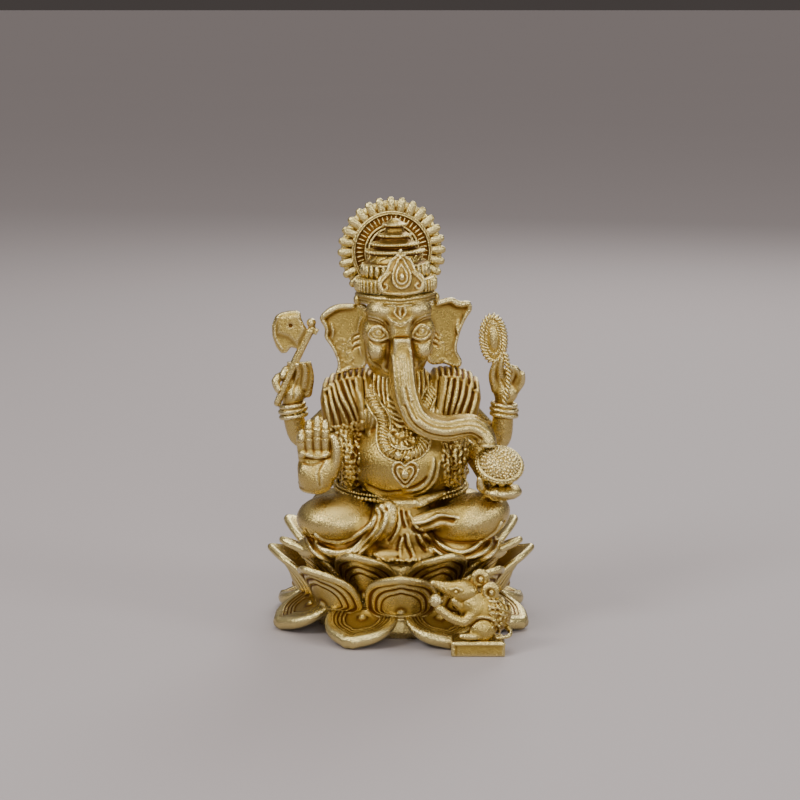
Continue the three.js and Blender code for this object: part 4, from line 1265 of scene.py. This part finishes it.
def crown():
    """The tiered crown with its band and crest."""
    seat = middle("crown_band") * (1, 1, 0) + low("crown_band") * (0, 0, 1)
    radius = (high("crown_band")[0] - low("crown_band")[0]) / 2
    band = Clay((-9.2, -9.2, -1.2), (9.2, 9.2, 3.2), CLOTH_CELL)
    for height, r, thick in ((0.9, radius - 1.1, 0.7), (1.6, radius - 0.75, 0.75)):
        points, _ = level_circle(r, 48, (0, 0, height))
        band.add(cord(points, thick, closed=True), 0.5)
    band.add(ball((0, 0, 1.2), (radius - 0.9, radius - 0.9, 1.0)), 0.3)
    for height, thick in ((0.55, 0.24), (1.15, 0.22), (1.8, 0.28)):
        bearing = np.linspace(0, 2 * math.pi, 72, endpoint=False)
        dip = 0.5 * np.exp(-((np.angle(np.exp(1j * bearing)) / 0.3) ** 2)) - 0.12 * np.cos(bearing * 6)
        wavy = np.column_stack([radius * np.sin(bearing), -radius * np.cos(bearing), height - dip])
        band.add(cord(wavy * (0.985, 0.985, 1), thick, closed=True), 0.12)
    for side in (-1, 1):
        band.add(ball((side * radius * 0.97, -1.6, 0.9), (0.8, 0.9, 1.1)), 0.2)
    sculpted("crown_band_cast", band, seat, ["crown_band"], CAST, HEAD_TURN)

    seat = middle("crown") * (1, 1, 0) + low("crown") * (0, 0, 1)
    profile = [(0, 0), (7.3, 0.02), (7.6, 0.1), (7.75, 0.5), (7.7, 2.0), (7.6, 2.5), (7.0, 2.75), (6.3, 2.9),
               (6.1, 3.4), (6.1, 4.7),
               (6.4, 5.1), (6.3, 5.4), (5.6, 5.6), (5.3, 6.3), (5.0, 7.0), (5.1, 7.3), (5.65, 7.5),
               (5.7, 7.85), (5.2, 8.1),
               (4.3, 8.25), (4.0, 8.5), (4.1, 8.75), (4.6, 8.95), (4.6, 9.25), (4.1, 9.45), (3.2, 9.7),
               (2.75, 10.1),
               (2.7, 10.4), (3.1, 10.6), (3.12, 10.9), (2.7, 11.1), (2.1, 11.4), (1.85, 11.9), (1.8, 12.4),
               (2.25, 12.65),
               (2.3, 12.95), (1.9, 13.2), (1.35, 13.45), (0.8, 13.9), (0.3, 14.05), (0, 14.08)]
    core = turned("crown core", profile, 120, 0.22)
    parts = [core]
    for r, height, count, kind, size in ((7.92, 1.35, 52, RIB, 1.0), (6.45, 4.05, 28, DROP, 0.92),
                                         (5.75, 7.7, 44, BEAD, 0.62),
                                         (4.65, 9.12, 36, BEAD, 0.58), (3.15, 10.78, 26, BEAD, 0.55),
                                         (2.3, 12.84, 20, BEAD, 0.5)):
        points, out = level_circle(r, 72, (0, 0, height))
        up = out if kind is BEAD else np.array((0, 0, 1.0))
        parts.append(row(points, up, kind, count, size, closed=True))
    for tilt in np.linspace(0, 2 * math.pi, 16, endpoint=False):
        bend = [(5.35 * math.sin(tilt + t * 0.35), -5.35 * math.cos(tilt + t * 0.35),
                 5.7 + 1.25 * t) for t in (0, 0.33, 0.66, 1.0)]
        parts.append(row(bend, (0, 0, 1.0), BEAD, 6, 0.42))
    mesh = moved(merged("crown_cast", *parts), seat, HEAD_TURN)
    piece("crown_cast", mesh, ["crown"], CAST)

    seat = middle("crown_crest")
    crest = Clay((-5.4, -2.2, -5.0), (5.4, 3.0, 5.4), BLADE_CELL)
    half = np.array([(0, 4.9), (0.75, 3.6), (1.9, 2.9), (2.5, 1.6), (3.1, 0.2), (4.3, -0.6), (4.6, -1.9),
                     (4.2, -3.1),
                     (3.0, -3.7), (1.4, -3.9), (0, -4.0)])
    whole = np.vstack([half, (half[1:-1] * (-1, 1))[::-1]])
    crest.add(slab(smooth_path(whole, 0.5, True), -0.2, 1.6, 0.4))
    crest.add(ball((0, 0.4, -0.6), (2.5, 1.5, 3.6)), 0.6)
    crest.ridge(whole * 0.95, 0.3, 0.15, closed=True)
    drop = np.array([(0, 3.2), (1.2, 1.4), (1.75, -0.4), (1.3, -2.0), (0, -2.7), (-1.3, -2.0), (-1.75, -0.4),
                     (-1.2, 1.4)])
    crest.ridge(drop, 0.28, 0.12, closed=True)
    crest.ridge(drop * 0.62 + (0, -0.2), 0.24, 0.12, closed=True)
    crest.add(ball((0, -1.2, -0.5), (0.55, 0.6, 0.8)), 0.15)
    crest.ridge([(0, 5.0), (0, 4.0), (0, 3.2)], 0.3, 0.2)
    for side in (-1, 1):
        crest.ridge(mirror(side, [(0.4, 3.6), (1.3, 3.7), (1.9, 3.2)]), 0.24, 0.15)
        crest.ridge(mirror(side, [(2.2, 0.4), (3.2, -0.6), (4.0, -1.6), (3.8, -2.7), (3.0, -2.8),
                                  (2.7, -2.2), (3.1, -1.8)]), 0.26, 0.12)
    tip = HEAD_TURN @ Euler((math.radians(-8), 0, 0)).to_matrix()
    sculpted("crown_crest_cast", crest, seat, ["crown_crest"], LIT_PALE_GOLD, tip)


def halo():
    """The halo: a ringed disc with a rim of rounded teeth."""
    seat = middle("halo") + (0.45, 0, 0)
    reach = (high("halo")[2] - low("halo")[2]) / 2
    profile = [(0, 0.75), (3.9, 0.75), (4.3, 0.78), (4.5, 1.0), (4.75, 1.0), (4.9, 0.75), (5.1, 0.75),
               (5.25, 1.08), (5.5, 1.08),
               (5.65, 0.7), (7.1, 0.66), (7.3, 0.7), (7.4, 1.0), (7.62, 1.0), (7.72, 0.72), (7.82, 1.05),
               (8.05, 1.0),
               (8.15, 0.1), (8.5, -0.05), (10.0, -0.1), (10.2, -0.3), (10.0, -0.6), (8.3, -0.62),
               (8.1, -0.92), (7.7, -0.92),
               (7.5, -0.6), (5.0, -0.6), (4.8, -0.9), (4.4, -0.9), (4.2, -0.62), (2.0, -0.8), (0, -0.85)]
    disc = turned("halo disc", np.array(profile) * (reach / HALO_DRAWN, 1), 160, None)
    face = Euler((math.radians(90), 0, 0)).to_matrix()
    disc.transform(face.to_4x4())
    parts = [disc]
    for r, count, kind, size, proud in ((9.15, HALO_TEETH, TOOTH, 1.0, -0.16),
                                        (6.45, 48, GRAIN, 0.95, -0.72)):
        points, out = circle(r * reach / HALO_DRAWN, 144, (0, proud, 0))
        parts.append(row(points, out, kind, count, size, closed=True))
    mesh = moved(merged("halo_cast", *parts), seat, HEAD_TURN)
    piece("halo_cast", mesh, ["halo"], CAST)


# ---- hands and what they hold ----
def loop(clay, centre, across, up, wide, tall, thick, soft=0.15):
    """A closed ring of round bar."""
    points, _ = level_circle(1.0, 28, (0, 0, 0))
    ring = np.array(centre) + points[:, :1] * np.array(across) * wide + points[:, 1:2] * np.array(up) * tall
    clay.add(cord(ring, thick, closed=True), soft)


def armlets(clay, start, end, shares, across, up, wide, thick):
    """Rings round an arm at shares of the way between two points."""
    for share in shares:
        at = np.array(start) * (1 - share) + np.array(end) * share
        loop(clay, at, across, up, wide, wide, thick)


def front_right_arm():
    """The arm whose open palm faces forward."""
    clay = Clay((-21.6, -15.6, 12.8), (-8.0, 4.6, 31.2), HAND_CELL)
    clay.add(cord([(-9.4, 0.6, 28.1), (-15.2, -0.4, 21.2), (-16.9, -5.2, 16.9), (-17, -10.8, 17.2)],
                  (3.1, 3.0, 2.5, 2.1)))
    clay.add(ball((-16.6, -11.6, 18.4), (3.7, 1.9, 4.5)), 0.8)
    clay.add(ball((-16.5, -12.3, 16.6), (3.5, 2.0, 3.2)), 0.8)
    clay.add(ball((-18.2, -12.8, 17.4), (1.9, 1.3, 2.4)), 0.5)
    clay.add(ball((-14.4, -12.5, 18.2), (1.7, 1.5, 2.9), (0, 12, 0)), 0.6)
    for x, tip in ((-19.4, 26.2), (-17.95, 28.2), (-16.35, 28.9), (-14.8, 28.2)):
        root = -16.9 + (x + 17.1) * 0.96
        clay.add(cord([(root, -12.0, 20.6), (x, -12.5, 23.6), (x, -12.6, (23.6 + tip) / 2),
                       (x * 0.998, -12.3, tip - 0.6)],
                      (1.0, 0.98, 0.95, 0.72)), 0.12)
        clay.add(ball((root, -12.9, 21.6), (0.95, 0.7, 0.8)), 0.3)
        for share in (0.4, 0.7):
            height = 22.6 + (tip - 22.6) * share
            clay.groove([(x - 0.7, height), (x, height - 0.1), (x + 0.7, height)], 0.11, 0.12)
    clay.add(cord([(-13.6, -12.3, 17.8), (-12.7, -12.6, 20.6), (-12.6, -12.8, 23.0), (-13.2, -12.7, 24.8)],
                  (1.5, 1.25, 1.05, 0.72)), 0.4)
    clay.ridge([(-18.2, 21.5), (-16.4, 21.0), (-14.8, 21.3)], 0.4, 0.3)
    clay.groove([(-19.0, 19.8), (-17.0, 19.6), (-15.0, 20.4)], 0.16, 0.25)
    clay.groove([(-15.2, 20.0), (-16.0, 18.0), (-15.8, 15.6)], 0.18, 0.25)
    for height, wide in ((15.5, 2.75), (14.7, 2.6)):
        loop(clay, (-17.1, -10.6, height), (1, 0, 0), (0, 1, 0.25), wide, 2.5, 0.42)
    armlets(clay, (-9.4, 0.6, 28.1), (-15.2, -0.4, 21.2), (0.12, 0.2, 0.62, 0.7), (0.77, 0, 0.64), (0, 1, 0),
            3.2, 0.36)
    sculpted("front_right_arm_cast", clay, SEAT, ["front_right_arm"], LIT_PALE_GOLD)


def rear_right_arm():
    """The raised arm whose fist holds the axe."""
    clay = Clay((-26.4, -4.6, 20.2), (-8.4, 6.6, 38.0), HAND_CELL)
    clay.add(cord([(-10.4, 1.8, 29.6), (-16.4, 2.4, 23.9), (-20.0, 1.0, 22.4), (-21.4, 0.2, 26.0),
                   (-21.9, -0.4, 30.0)],
                  (2.9, 2.6, 2.2, 2.1, 1.8)))
    clay.add(ball((-20.8, -0.4, 33.0), (2.6, 1.7, 3.6), (0, 8, 0)), 0.7)
    clay.add(ball((-21.4, -1.2, 31.4), (2.1, 1.5, 1.9)), 0.6)
    for at, mid, tip in (((-18.7, -0.8, 31.6), (-18.1, -1.2, 35.0), (-18.6, -1.7, 38.6)),
                         ((-19.3, -1.2, 33.0), (-19.0, -1.9, 36.2), (-19.7, -2.5, 38.4)),
                         ((-20.6, -1.2, 34.0), (-20.2, -2.0, 36.4), (-20.6, -2.9, 37.6))):
        clay.add(cord([at, mid, tip], (1.0, 0.82, 0.6)), 0.22)
    # two fingers folded over on the outer side, and the thumb
    clay.add(cord([(-22.2, -0.9, 33.6), (-23.6, -1.9, 35.2), (-24.9, -2.4, 34.2), (-24.4, -2.9, 32.6)],
                  (0.95, 0.9, 0.85, 0.7)), 0.25)
    clay.add(cord([(-22.0, -0.9, 34.6), (-22.8, -2.0, 36.4), (-23.4, -2.8, 35.4)], (0.9, 0.85, 0.7)), 0.22)
    clay.add(cord([(-21.4, -1.0, 35.2), (-21.9, -2.0, 37.6), (-22.0, -2.6, 38.6)], (0.8, 0.75, 0.6)), 0.22)
    clay.groove([(-20.4, 34.6), (-21.2, 32.6), (-21.4, 30.8)], 0.18, 0.3)
    for height, wide in ((29.0, 2.3), (28.0, 2.55), (26.9, 2.5)):
        loop(clay, (-21.6 - (height - 28) * 0.12, -0.2, height), (1, 0, 0.15), (0, 1, 0), wide, 2.3, 0.48)
    armlets(clay, (-10.4, 1.8, 29.6), (-16.4, 2.4, 23.9), (0.4, 0.55), (0.7, 0, 0.72), (0, 1, 0), 2.95, 0.34)
    sculpted("rear_right_arm_cast", clay, SEAT, ["rear_right_arm"], LIT_PALE_GOLD)


def axe():
    """The axe: a notched crescent blade on a square-ended bar."""
    seat = middle("axe")
    clay = Clay((-5.4, -2.0, -10.0), (5.8, 2.0, 10.4), BLADE_CELL)
    blade = [(-2.4, 9.4), (-0.8, 9.75), (0.75, 9.8), (1.45, 9.3), (1.35, 8.2), (1.75, 7.1), (2.6, 6.2),
             (3.3, 5.6), (1.7, 2.3),
             (0.5, 2.3), (-0.5, 2.5), (-1.4, 1.4), (-2.4, 1.3), (-3.4, 2.5), (-4.15, 4.7), (-4.25, 6.9),
             (-3.6, 8.6)]
    clay.add(slab(blade, -0.65, 0.65, 0.3))
    clay.add(slab([(-3.2, 8.8), (1.2, 9.0), (2.4, 6.2), (0.8, 3.0), (-1.0, 4.6), (-3.2, 5.4)], -0.95, 0.95,
                  0.5), 0.5)
    clay.ridge([(-3.0, 8.6), (-3.7, 6.2), (-3.3, 4.0), (-2.2, 2.2)], 0.2, 0.2)
    clay.cut(ball((-0.5, -0.95, 6.9), (0.42, 0.4, 0.42)), 0.1)
    clay.add(cord([(-3.3, 0.1, -8.8), (0.2, -0.1, -0.6), (3.7, 0, 6.3)], (0.72, 0.8, 0.72)), 0.2)
    clay.add(slab([(-3.9, -8.4), (-2.9, -8.9), (4.0, 5.8), (3.0, 6.3)], -0.8, 0.5, 0.25), 0.15)
    clay.add(ball((3.55, 0, 7.35), (0.95, 0.95, 0.95)), 0.15)
    clay.add(slab([(4.2, 6.4), (3.7, 5.3), (4.5, 4.9), (5.1, 6.0)], -0.6, 0.6, 0.2), 0.15)
    sculpted("axe_cast", clay, seat, ["axe"], LIT_PALE_GOLD)


def rear_left_arm():
    """The raised arm that holds the noose."""
    clay = Clay((8.6, -4.8, 19.6), (25.4, 6.0, 39.4), HAND_CELL)
    clay.add(cord([(10.4, 1.8, 29.6), (17.0, 1.6, 22.9), (19.8, 0.2, 22.2), (20.4, -0.4, 26.4),
                   (20.6, -0.8, 30.4)],
                  (2.9, 2.7, 2.2, 2.1, 1.8)))
    clay.add(ball((20.6, -0.6, 33.2), (2.6, 1.7, 3.5), (0, -6, 0)), 0.7)
    clay.add(ball((21.2, -1.4, 31.6), (2.1, 1.4, 1.9)), 0.6)
    for at, mid, tip in (((18.9, -1.0, 32.4), (18.2, -1.6, 35.4), (18.9, -2.2, 38.2)),
                         ((19.9, -1.2, 34.0), (19.7, -2.0, 36.8), (20.1, -2.4, 38.8)),
                         ((21.4, -1.2, 34.0), (22.2, -2.2, 36.4), (21.6, -3.0, 37.2)),
                         ((22.4, -0.8, 33.0), (23.4, -1.6, 35.2), (22.8, -2.5, 36.8)),
                         ((22.4, -0.8, 31.8), (23.9, -1.4, 33.8), (24.1, -2.0, 35.6))):
        clay.add(cord([at, mid, tip], (0.98, 0.8, 0.56)), 0.3)
    clay.groove([(20.0, 34.4), (21.0, 32.4), (21.4, 30.8)], 0.18, 0.3)
    for height, wide in ((29.2, 2.35), (28.2, 2.55), (27.2, 2.5)):
        loop(clay, (20.6, -0.6, height), (1, 0, -0.1), (0, 1, 0), wide, 2.3, 0.46)
    armlets(clay, (10.4, 1.8, 29.6), (17.0, 1.6, 22.9), (0.4, 0.55), (-0.7, 0, 0.72), (0, 1, 0), 2.95, 0.34)
    sculpted("rear_left_arm_cast", clay, SEAT, ["rear_left_arm"], LIT_PALE_GOLD)


def noose():
    """The noose: a twisted rope in an oval round a plain boss, with its tail over the hand."""
    seat = middle("noose")
    clay = Clay((-3.6, -2.0, -6.0), (3.6, 2.0, 6.0), FINE_CELL)
    clay.add(ball((0, 0.1, 0), (2.3, 0.75, 4.4), (0, -4, 0)))
    clay.add(ball((0, -0.35, 0), (1.15, 0.75, 2.5), (0, -4, 0)), 0.15)
    oval, _ = circle(1.0, 60)
    loops = []
    for wide, tall, count, size in ((2.25, 4.5, 32, 1.0), (1.45, 3.1, 26, 0.62)):
        line = oval * (wide, 1, tall) @ np.array(Euler((0, math.radians(-4), 0)).to_matrix()).T
        loops.append(row(line + (0, -0.35, 0), (0, -1.0, 0), ROPE_TURN, count, size, closed=True))
    tail = [(2.4, -1.0, -3.0), (2.9, -1.9, -6.0), (2.9, -2.2, -9.0), (2.2, -1.9, -12.4)]
    loops.append(row(smooth_path(tail, 0.6), (0, -1.0, 0), ROPE_TURN, 13, 0.95))
    body = mesh_of("boss", *clay.faces((0, 0, 0)))
    piece("noose_cast", moved(merged("noose_cast", body, *loops), seat), ["noose"], LIT_PALE_GOLD)


def front_left_arm():
    """The arm whose hand carries the bowl."""
    clay = Clay((7.6, -17.4, 11.4), (24.6, 4.2, 30.6), CLOTH_CELL)
    clay.add(cord([(9.8, 0.4, 27.2), (15.0, -1.4, 20.4), (17.4, -6.2, 16.3), (18.8, -10.6, 14.4)],
                  (3.1, 3.0, 2.4, 1.9)))
    clay.add(ball((19.7, -12.9, 14.1), (4.0, 3.5, 1.6)), 0.8)
    for k, (x, y) in enumerate(((22.6, -12.2), (22.0, -14.2), (20.4, -15.6), (18.4, -15.9))):
        clay.add(cord([(19.6 + 0.2 * k, -12.2, 13.8), (x - 0.2, y + 1.0, 13.5), (x + 0.1, y + 0.8, 14.1),
                       (x + 0.1, y + 0.8, 14.6)],
                      (1.2, 0.75, 0.62, 0.5)), 0.6)
    clay.add(cord([(17.0, -12.0, 14.4), (15.6, -14.2, 15.4), (15.4, -14.8, 17.0)], (1.1, 0.95, 0.65)), 0.3)
    armlets(clay, (17.7, -7.6, 15.7), (18.8, -10.6, 14.4), (0.0, 0.3, 0.6), (0.96, 0.2, 0.1), (0, 0.3, 0.95),
            2.35, 0.42)
    armlets(clay, (9.8, 0.4, 27.2), (15.0, -1.4, 20.4), (0.12, 0.2, 0.62, 0.7), (-0.77, 0, 0.64), (0, 1, 0),
            3.2, 0.36)
    sculpted("front_left_arm_cast", clay, SEAT, ["front_left_arm"], LIT_PALE_GOLD)


def bowl():
    """The bowl of round sweets."""
    seat = middle("bowl") + (-0.05, 0.25, 0)
    wide = (high("bowl")[0] - low("bowl")[0]) / 2
    lean = Euler((math.radians(38), math.radians(8), 0)).to_matrix()
    scale = wide / BOWL_DRAWN
    profile = [(0, -3.1), (1.4, -3.05), (1.9, -2.8), (1.8, -2.5), (2.6, -2.1), (3.6, -1.2), (4.2, -0.3),
               (4.35, 0.0), (4.7, 0.15),
               (4.7, 0.45), (4.4, 0.6), (4.4, 0.7), (4.72, 0.85), (4.6, 1.15), (4.1, 1.2), (3.9, 0.9),
               (3.0, 0.7), (0, 0.7)]
    shell = turned("bowl shell", np.array(profile) * scale, 96, 0.2)
    petals, out = level_circle(3.7 * scale, 60, (0, 0, -0.8))
    rim, rim_out = level_circle(4.72 * scale, 60, (0, 0, 0.62))
    up = np.array((0, 0, 1.0)) + out * 0.55
    parts = [shell, row(petals, up, DROP, 14, 1.15, closed=True),
             row(rim, rim_out, BEAD, 44, 0.5, closed=True)]
    piece("bowl_cast", moved(merged("bowl_cast", *parts), seat, lean), ["bowl"], CAST)
    k = np.arange(SWEETS) + 0.5
    height = 1 - k / SWEETS
    bearing = math.pi * (1 + 5**0.5) * k
    r = np.sqrt(1 - height**2)
    dome = np.column_stack([r * np.cos(bearing), r * np.sin(bearing), height]) * (3.75, 3.75,
                                                                                  2.6) * scale + (0, 0, 0.75)
    heap = turned("heap", [(0, 0.3), (3.6 * scale, 0.32), (3.7 * scale, 0.9), (3.2 * scale, 2.1),
                           (2.2 * scale, 2.9), (1.0, 3.2), (0, 3.25)], 48, 0.4)
    carrier = bpy.data.meshes.new("dome")
    carrier.from_pydata((dome * MM).tolist(), [], [])
    sweets = grown(COVER, carrier, Element=BEAD, Size=0.86, Uneven=0.2, Seed=3, Material=LIT_PALE_GOLD)
    piece("sweets_cast", moved(merged("sweets_cast", heap, sweets), seat, lean), ["sweets"],
          LIT_PALE_GOLD)


# ---- the mouse on its plinth ----
def mouse():
    """The mouse, its sweet and the block it sits on."""
    seat = middle("plinth")
    size = (high("plinth") - low("plinth")) / 2
    block = Clay(-size - 0.6, size + 0.6, HAND_CELL)
    x, z = size[0], size[2]
    block.add(slab([(-x, -z), (x, -z), (x, z - 0.5), (x - 0.4, z), (-x + 0.4, z), (-x, z - 0.5)], -size[1],
                   size[1], 0.3))
    block.groove([(-x + 0.95, -z - 1), (-x + 0.95, 0), (-x + 0.95, z + 1)], 0.14, 0.15)
    block.ridge([(-x, z - 0.55), (0, z - 0.55), (x, z - 0.55)], 0.16, 0.2)
    sculpted("plinth_cast", block, seat, ["plinth"], CAST)

    seat = seat + (0, 0, size[2])
    body = Clay((-8.4, -4.0, -0.4), (7.4, 5.2, 10.4), MOUSE_CELL)
    body.add(ball((1.7, 0.8, 4.8), (4.9, 3.2, 4.2), (0, 20, 10)))
    body.add(ball((-1.0, 0.0, 6.6), (2.6, 2.4, 2.6)), 1.0)
    body.add(ball((0.7, -1.4, 1.9), (2.9, 1.5, 2.3)), 0.3)
    arc = [(-2.6, 1.4), (-1.8, 3.4), (0.2, 4.7), (2.4, 4.4), (3.8, 2.8), (4.2, 1.0)]
    body.ridge(arc, 0.3, 0.15)
    body.groove(beside(arc, -0.6), 0.2, 0.2)
    body.add(cord([(-0.6, -1.2, 5.6), (-2.6, -2.0, 3.8), (-5.2, -2.1, 4.6), (-7.4, -1.8, 6.2)],
                  (1.35, 1.1, 0.95, 0.9)), 0.4)
    body.add(cord([(-1.6, -0.6, 5.4), (-3.6, -0.8, 6.6), (-4.6, -1.2, 7.6)], (1.1, 0.9, 0.7)), 0.3)
    body.add(ball((-1.4, -2.2, 0.9), (2.4, 0.9, 0.8)), 0.3)
    body.grains([(2.6, 2.6), (6.6, 2.0), (6.2, 7.4), (1.6, 9.0)], 110, 0.24, 11)
    # saddle cloth
    for shift in (0, 0.9, 1.8, 2.7):
        body.ridge([(2.4 + shift, 9.4), (3.4 + shift * 0.9, 7.0), (5.2 + shift * 0.4, 4.8)], 0.26, 0.15)
    for fall in (8.6, 7.4, 6.2, 5.2):
        body.ridge([(2.2, fall + 0.3), (4.0, fall), (6.2, fall - 1.0)], 0.18, 0.12)
    body.add(cord([(5.0, 1.4, 2.4), (6.2, 0.6, 1.2), (5.8, -1.2, 0.6), (3.6, -2.4, 0.6)],
                  (0.6, 0.5, 0.42, 0.3)), 0.3)
    sculpted("mouse_body_cast", body, seat, ["mouse_body"], CAST)

    head_clay = Clay((-10.0, -3.6, 5.8), (3.8, 4.4, 15.0), FINE_CELL)
    head_clay.add(ball((-2.6, 0.2, 9.8), (2.9, 2.4, 2.2), (0, 10, 0)))
    head_clay.add(cord([(-3.4, 0.1, 9.9), (-6.0, -0.3, 10.6), (-8.4, -0.6, 11.6)], (2.0, 1.35, 0.62)), 0.8)
    head_clay.add(ball((-8.6, -0.7, 11.7), (0.6, 0.55, 0.5)), 0.2)
    for at, turn in (((0.4, 0.6, 12.2), (0, 30, 0)), ((2.4, -0.6, 9.9), (0, -10, 0))):
        head_clay.add(ball(at, (1.9, 0.9, 1.9), turn), 0.4)
        head_clay.cut(ball((at[0] - 0.1, at[1] - 1.1, at[2]), (1.15, 0.7, 1.15)), 0.25)
        head_clay.add(ball((at[0] + 0.1, at[1] - 0.6, at[2] - 0.1), (0.5, 0.45, 0.6)), 0.2)
    head_clay.cut(ball((-4.2, -2.3, 10.2), (0.62, 0.6, 0.42)), 0.15)
    head_clay.add(ball((-4.2, -1.75, 10.2), (0.42, 0.36, 0.34)), 0.05)
    head_clay.ridge([(-5.2, 10.6), (-4.2, 11.0), (-3.2, 10.6)], 0.22, 0.15)
    head_clay.groove([(-8.2, 10.7), (-6.4, 9.6), (-4.8, 8.8)], 0.18, 0.2)
    sculpted("mouse_head_cast", head_clay, seat - (0, 0, 0.7), ["mouse_head"], CAST)

    seat = middle("mouse_sweet")
    profile = [(0, -1.3), (0.7, -1.2), (1.2, -0.6), (1.35, 0.0), (1.1, 0.7), (0.5, 1.15), (0, 1.3)]

    def ribs(turn, z):
        return 1 + 0.04 * np.cos(9 * turn) * (1 - min(1, abs(z)))

    sweet = turned("sweet", profile, 36, 0.2, ribs)
    grains, out = level_circle(1.28, 40, (0, 0, -0.1))
    band = row(grains, out, BEAD, 18, 0.34, closed=True)
    mesh = moved(merged("mouse_sweet_cast", sweet, band), seat)
    piece("mouse_sweet_cast", mesh, ["mouse_sweet"], LIT_PALE_GOLD)


def figure():
    """Everything that sits on the lotus."""
    chest = torso()
    garland(chest)
    pendant(chest)
    legs()
    belt()
    lap_cloth()
    shawls()
    head()
    ears()
    crown()
    halo()
    front_right_arm()
    rear_right_arm()
    axe()
    rear_left_arm()
    noose()
    front_left_arm()
    bowl()
    mouse()


# ---- the stage ----
def stage():
    """A pale floor, soft light and the camera."""
    floor_shade = Shader("pale floor")
    place = floor_shade.node("TexCoord", output=3)
    mottling = floor_shade.node("TexNoise", Vector=place, Scale=3.0, Detail=3.0)
    colour = floor_shade.mix(mottling * 0.3, (0.40, 0.355, 0.35), (0.36, 0.32, 0.32))
    surface = floor_shade.node("BsdfPrincipled", Base_Color=colour, Roughness=0.75)
    floor_shade.node("OutputMaterial", Surface=surface)
    mesh = bpy.data.meshes.new("floor")
    wide = FLOOR_REACH
    mesh.from_pydata([(-wide, -wide, 0), (wide, -wide, 0), (wide, wide, 0), (-wide, wide, 0)], [],
                     [(0, 1, 2, 3)])
    mesh.materials.append(floor_shade.material)
    floor = bpy.data.objects.new("floor", mesh)
    bpy.context.scene.collection.objects.link(floor)

    world = bpy.data.worlds.new("studio")
    world.use_nodes = True
    sky = world.node_tree
    way = sky.nodes.new("ShaderNodeTexCoord")
    split = sky.nodes.new("ShaderNodeSeparateXYZ")
    ramp = sky.nodes.new("ShaderNodeValToRGB")
    sky.links.new(way.outputs["Generated"], split.inputs[0])
    sky.links.new(split.outputs["Z"], ramp.inputs[0])
    sky.links.new(ramp.outputs[0], sky.nodes["Background"].inputs["Color"])
    ramp.color_ramp.elements[0].position = 0.02
    ramp.color_ramp.elements[0].color = (0.10, 0.085, 0.08, 1)
    ramp.color_ramp.elements[1].position = 0.75
    ramp.color_ramp.elements[1].color = (0.85, 0.80, 0.78, 1)
    sky.nodes["Background"].inputs["Strength"].default_value = 0.62
    bpy.context.scene.world = world

    for name, at, size, power in (
        ("window left", (-0.42, -0.34, 0.46), 0.24, 2.2),
        ("window right", (0.52, -0.28, 0.34), 0.18, 1.1),
        ("front", (0.10, -0.72, 0.30), 0.32, 1.9),
        ("ceiling", (0.0, -0.05, 0.80), 0.36, 2.2),
        ("back light", (0.15, 0.55, 0.42), 0.30, 1.8),
    ):
        lamp = bpy.data.lights.new(name, "AREA")
        lamp.shape = "SQUARE"
        lamp.size = size
        lamp.energy = power
        made = bpy.data.objects.new(name, lamp)
        made.location = at
        made.rotation_euler = (Vector((0, 0, 0.04)) - Vector(at)).to_track_quat("-Z", "Y").to_euler()
        bpy.context.scene.collection.objects.link(made)

    camera_data = bpy.data.cameras.new("camera")
    camera_data.sensor_width = SENSOR
    camera_data.lens = SENSOR * CAMERA_AWAY / WIDTH_SEEN
    camera_data.clip_start = 0.01
    camera = bpy.data.objects.new("camera", camera_data)
    aim = Vector((-0.2, 0, 44.6)) * MM
    tilt = math.radians(CAMERA_TILT)
    camera.location = aim + Vector((0, -math.cos(tilt), math.sin(tilt))) * CAMERA_AWAY * MM
    camera.rotation_euler = (aim - camera.location).to_track_quat("-Z", "Y").to_euler()
    bpy.context.scene.collection.objects.link(camera)
    bpy.context.scene.camera = camera


stage()
lotus()
figure()
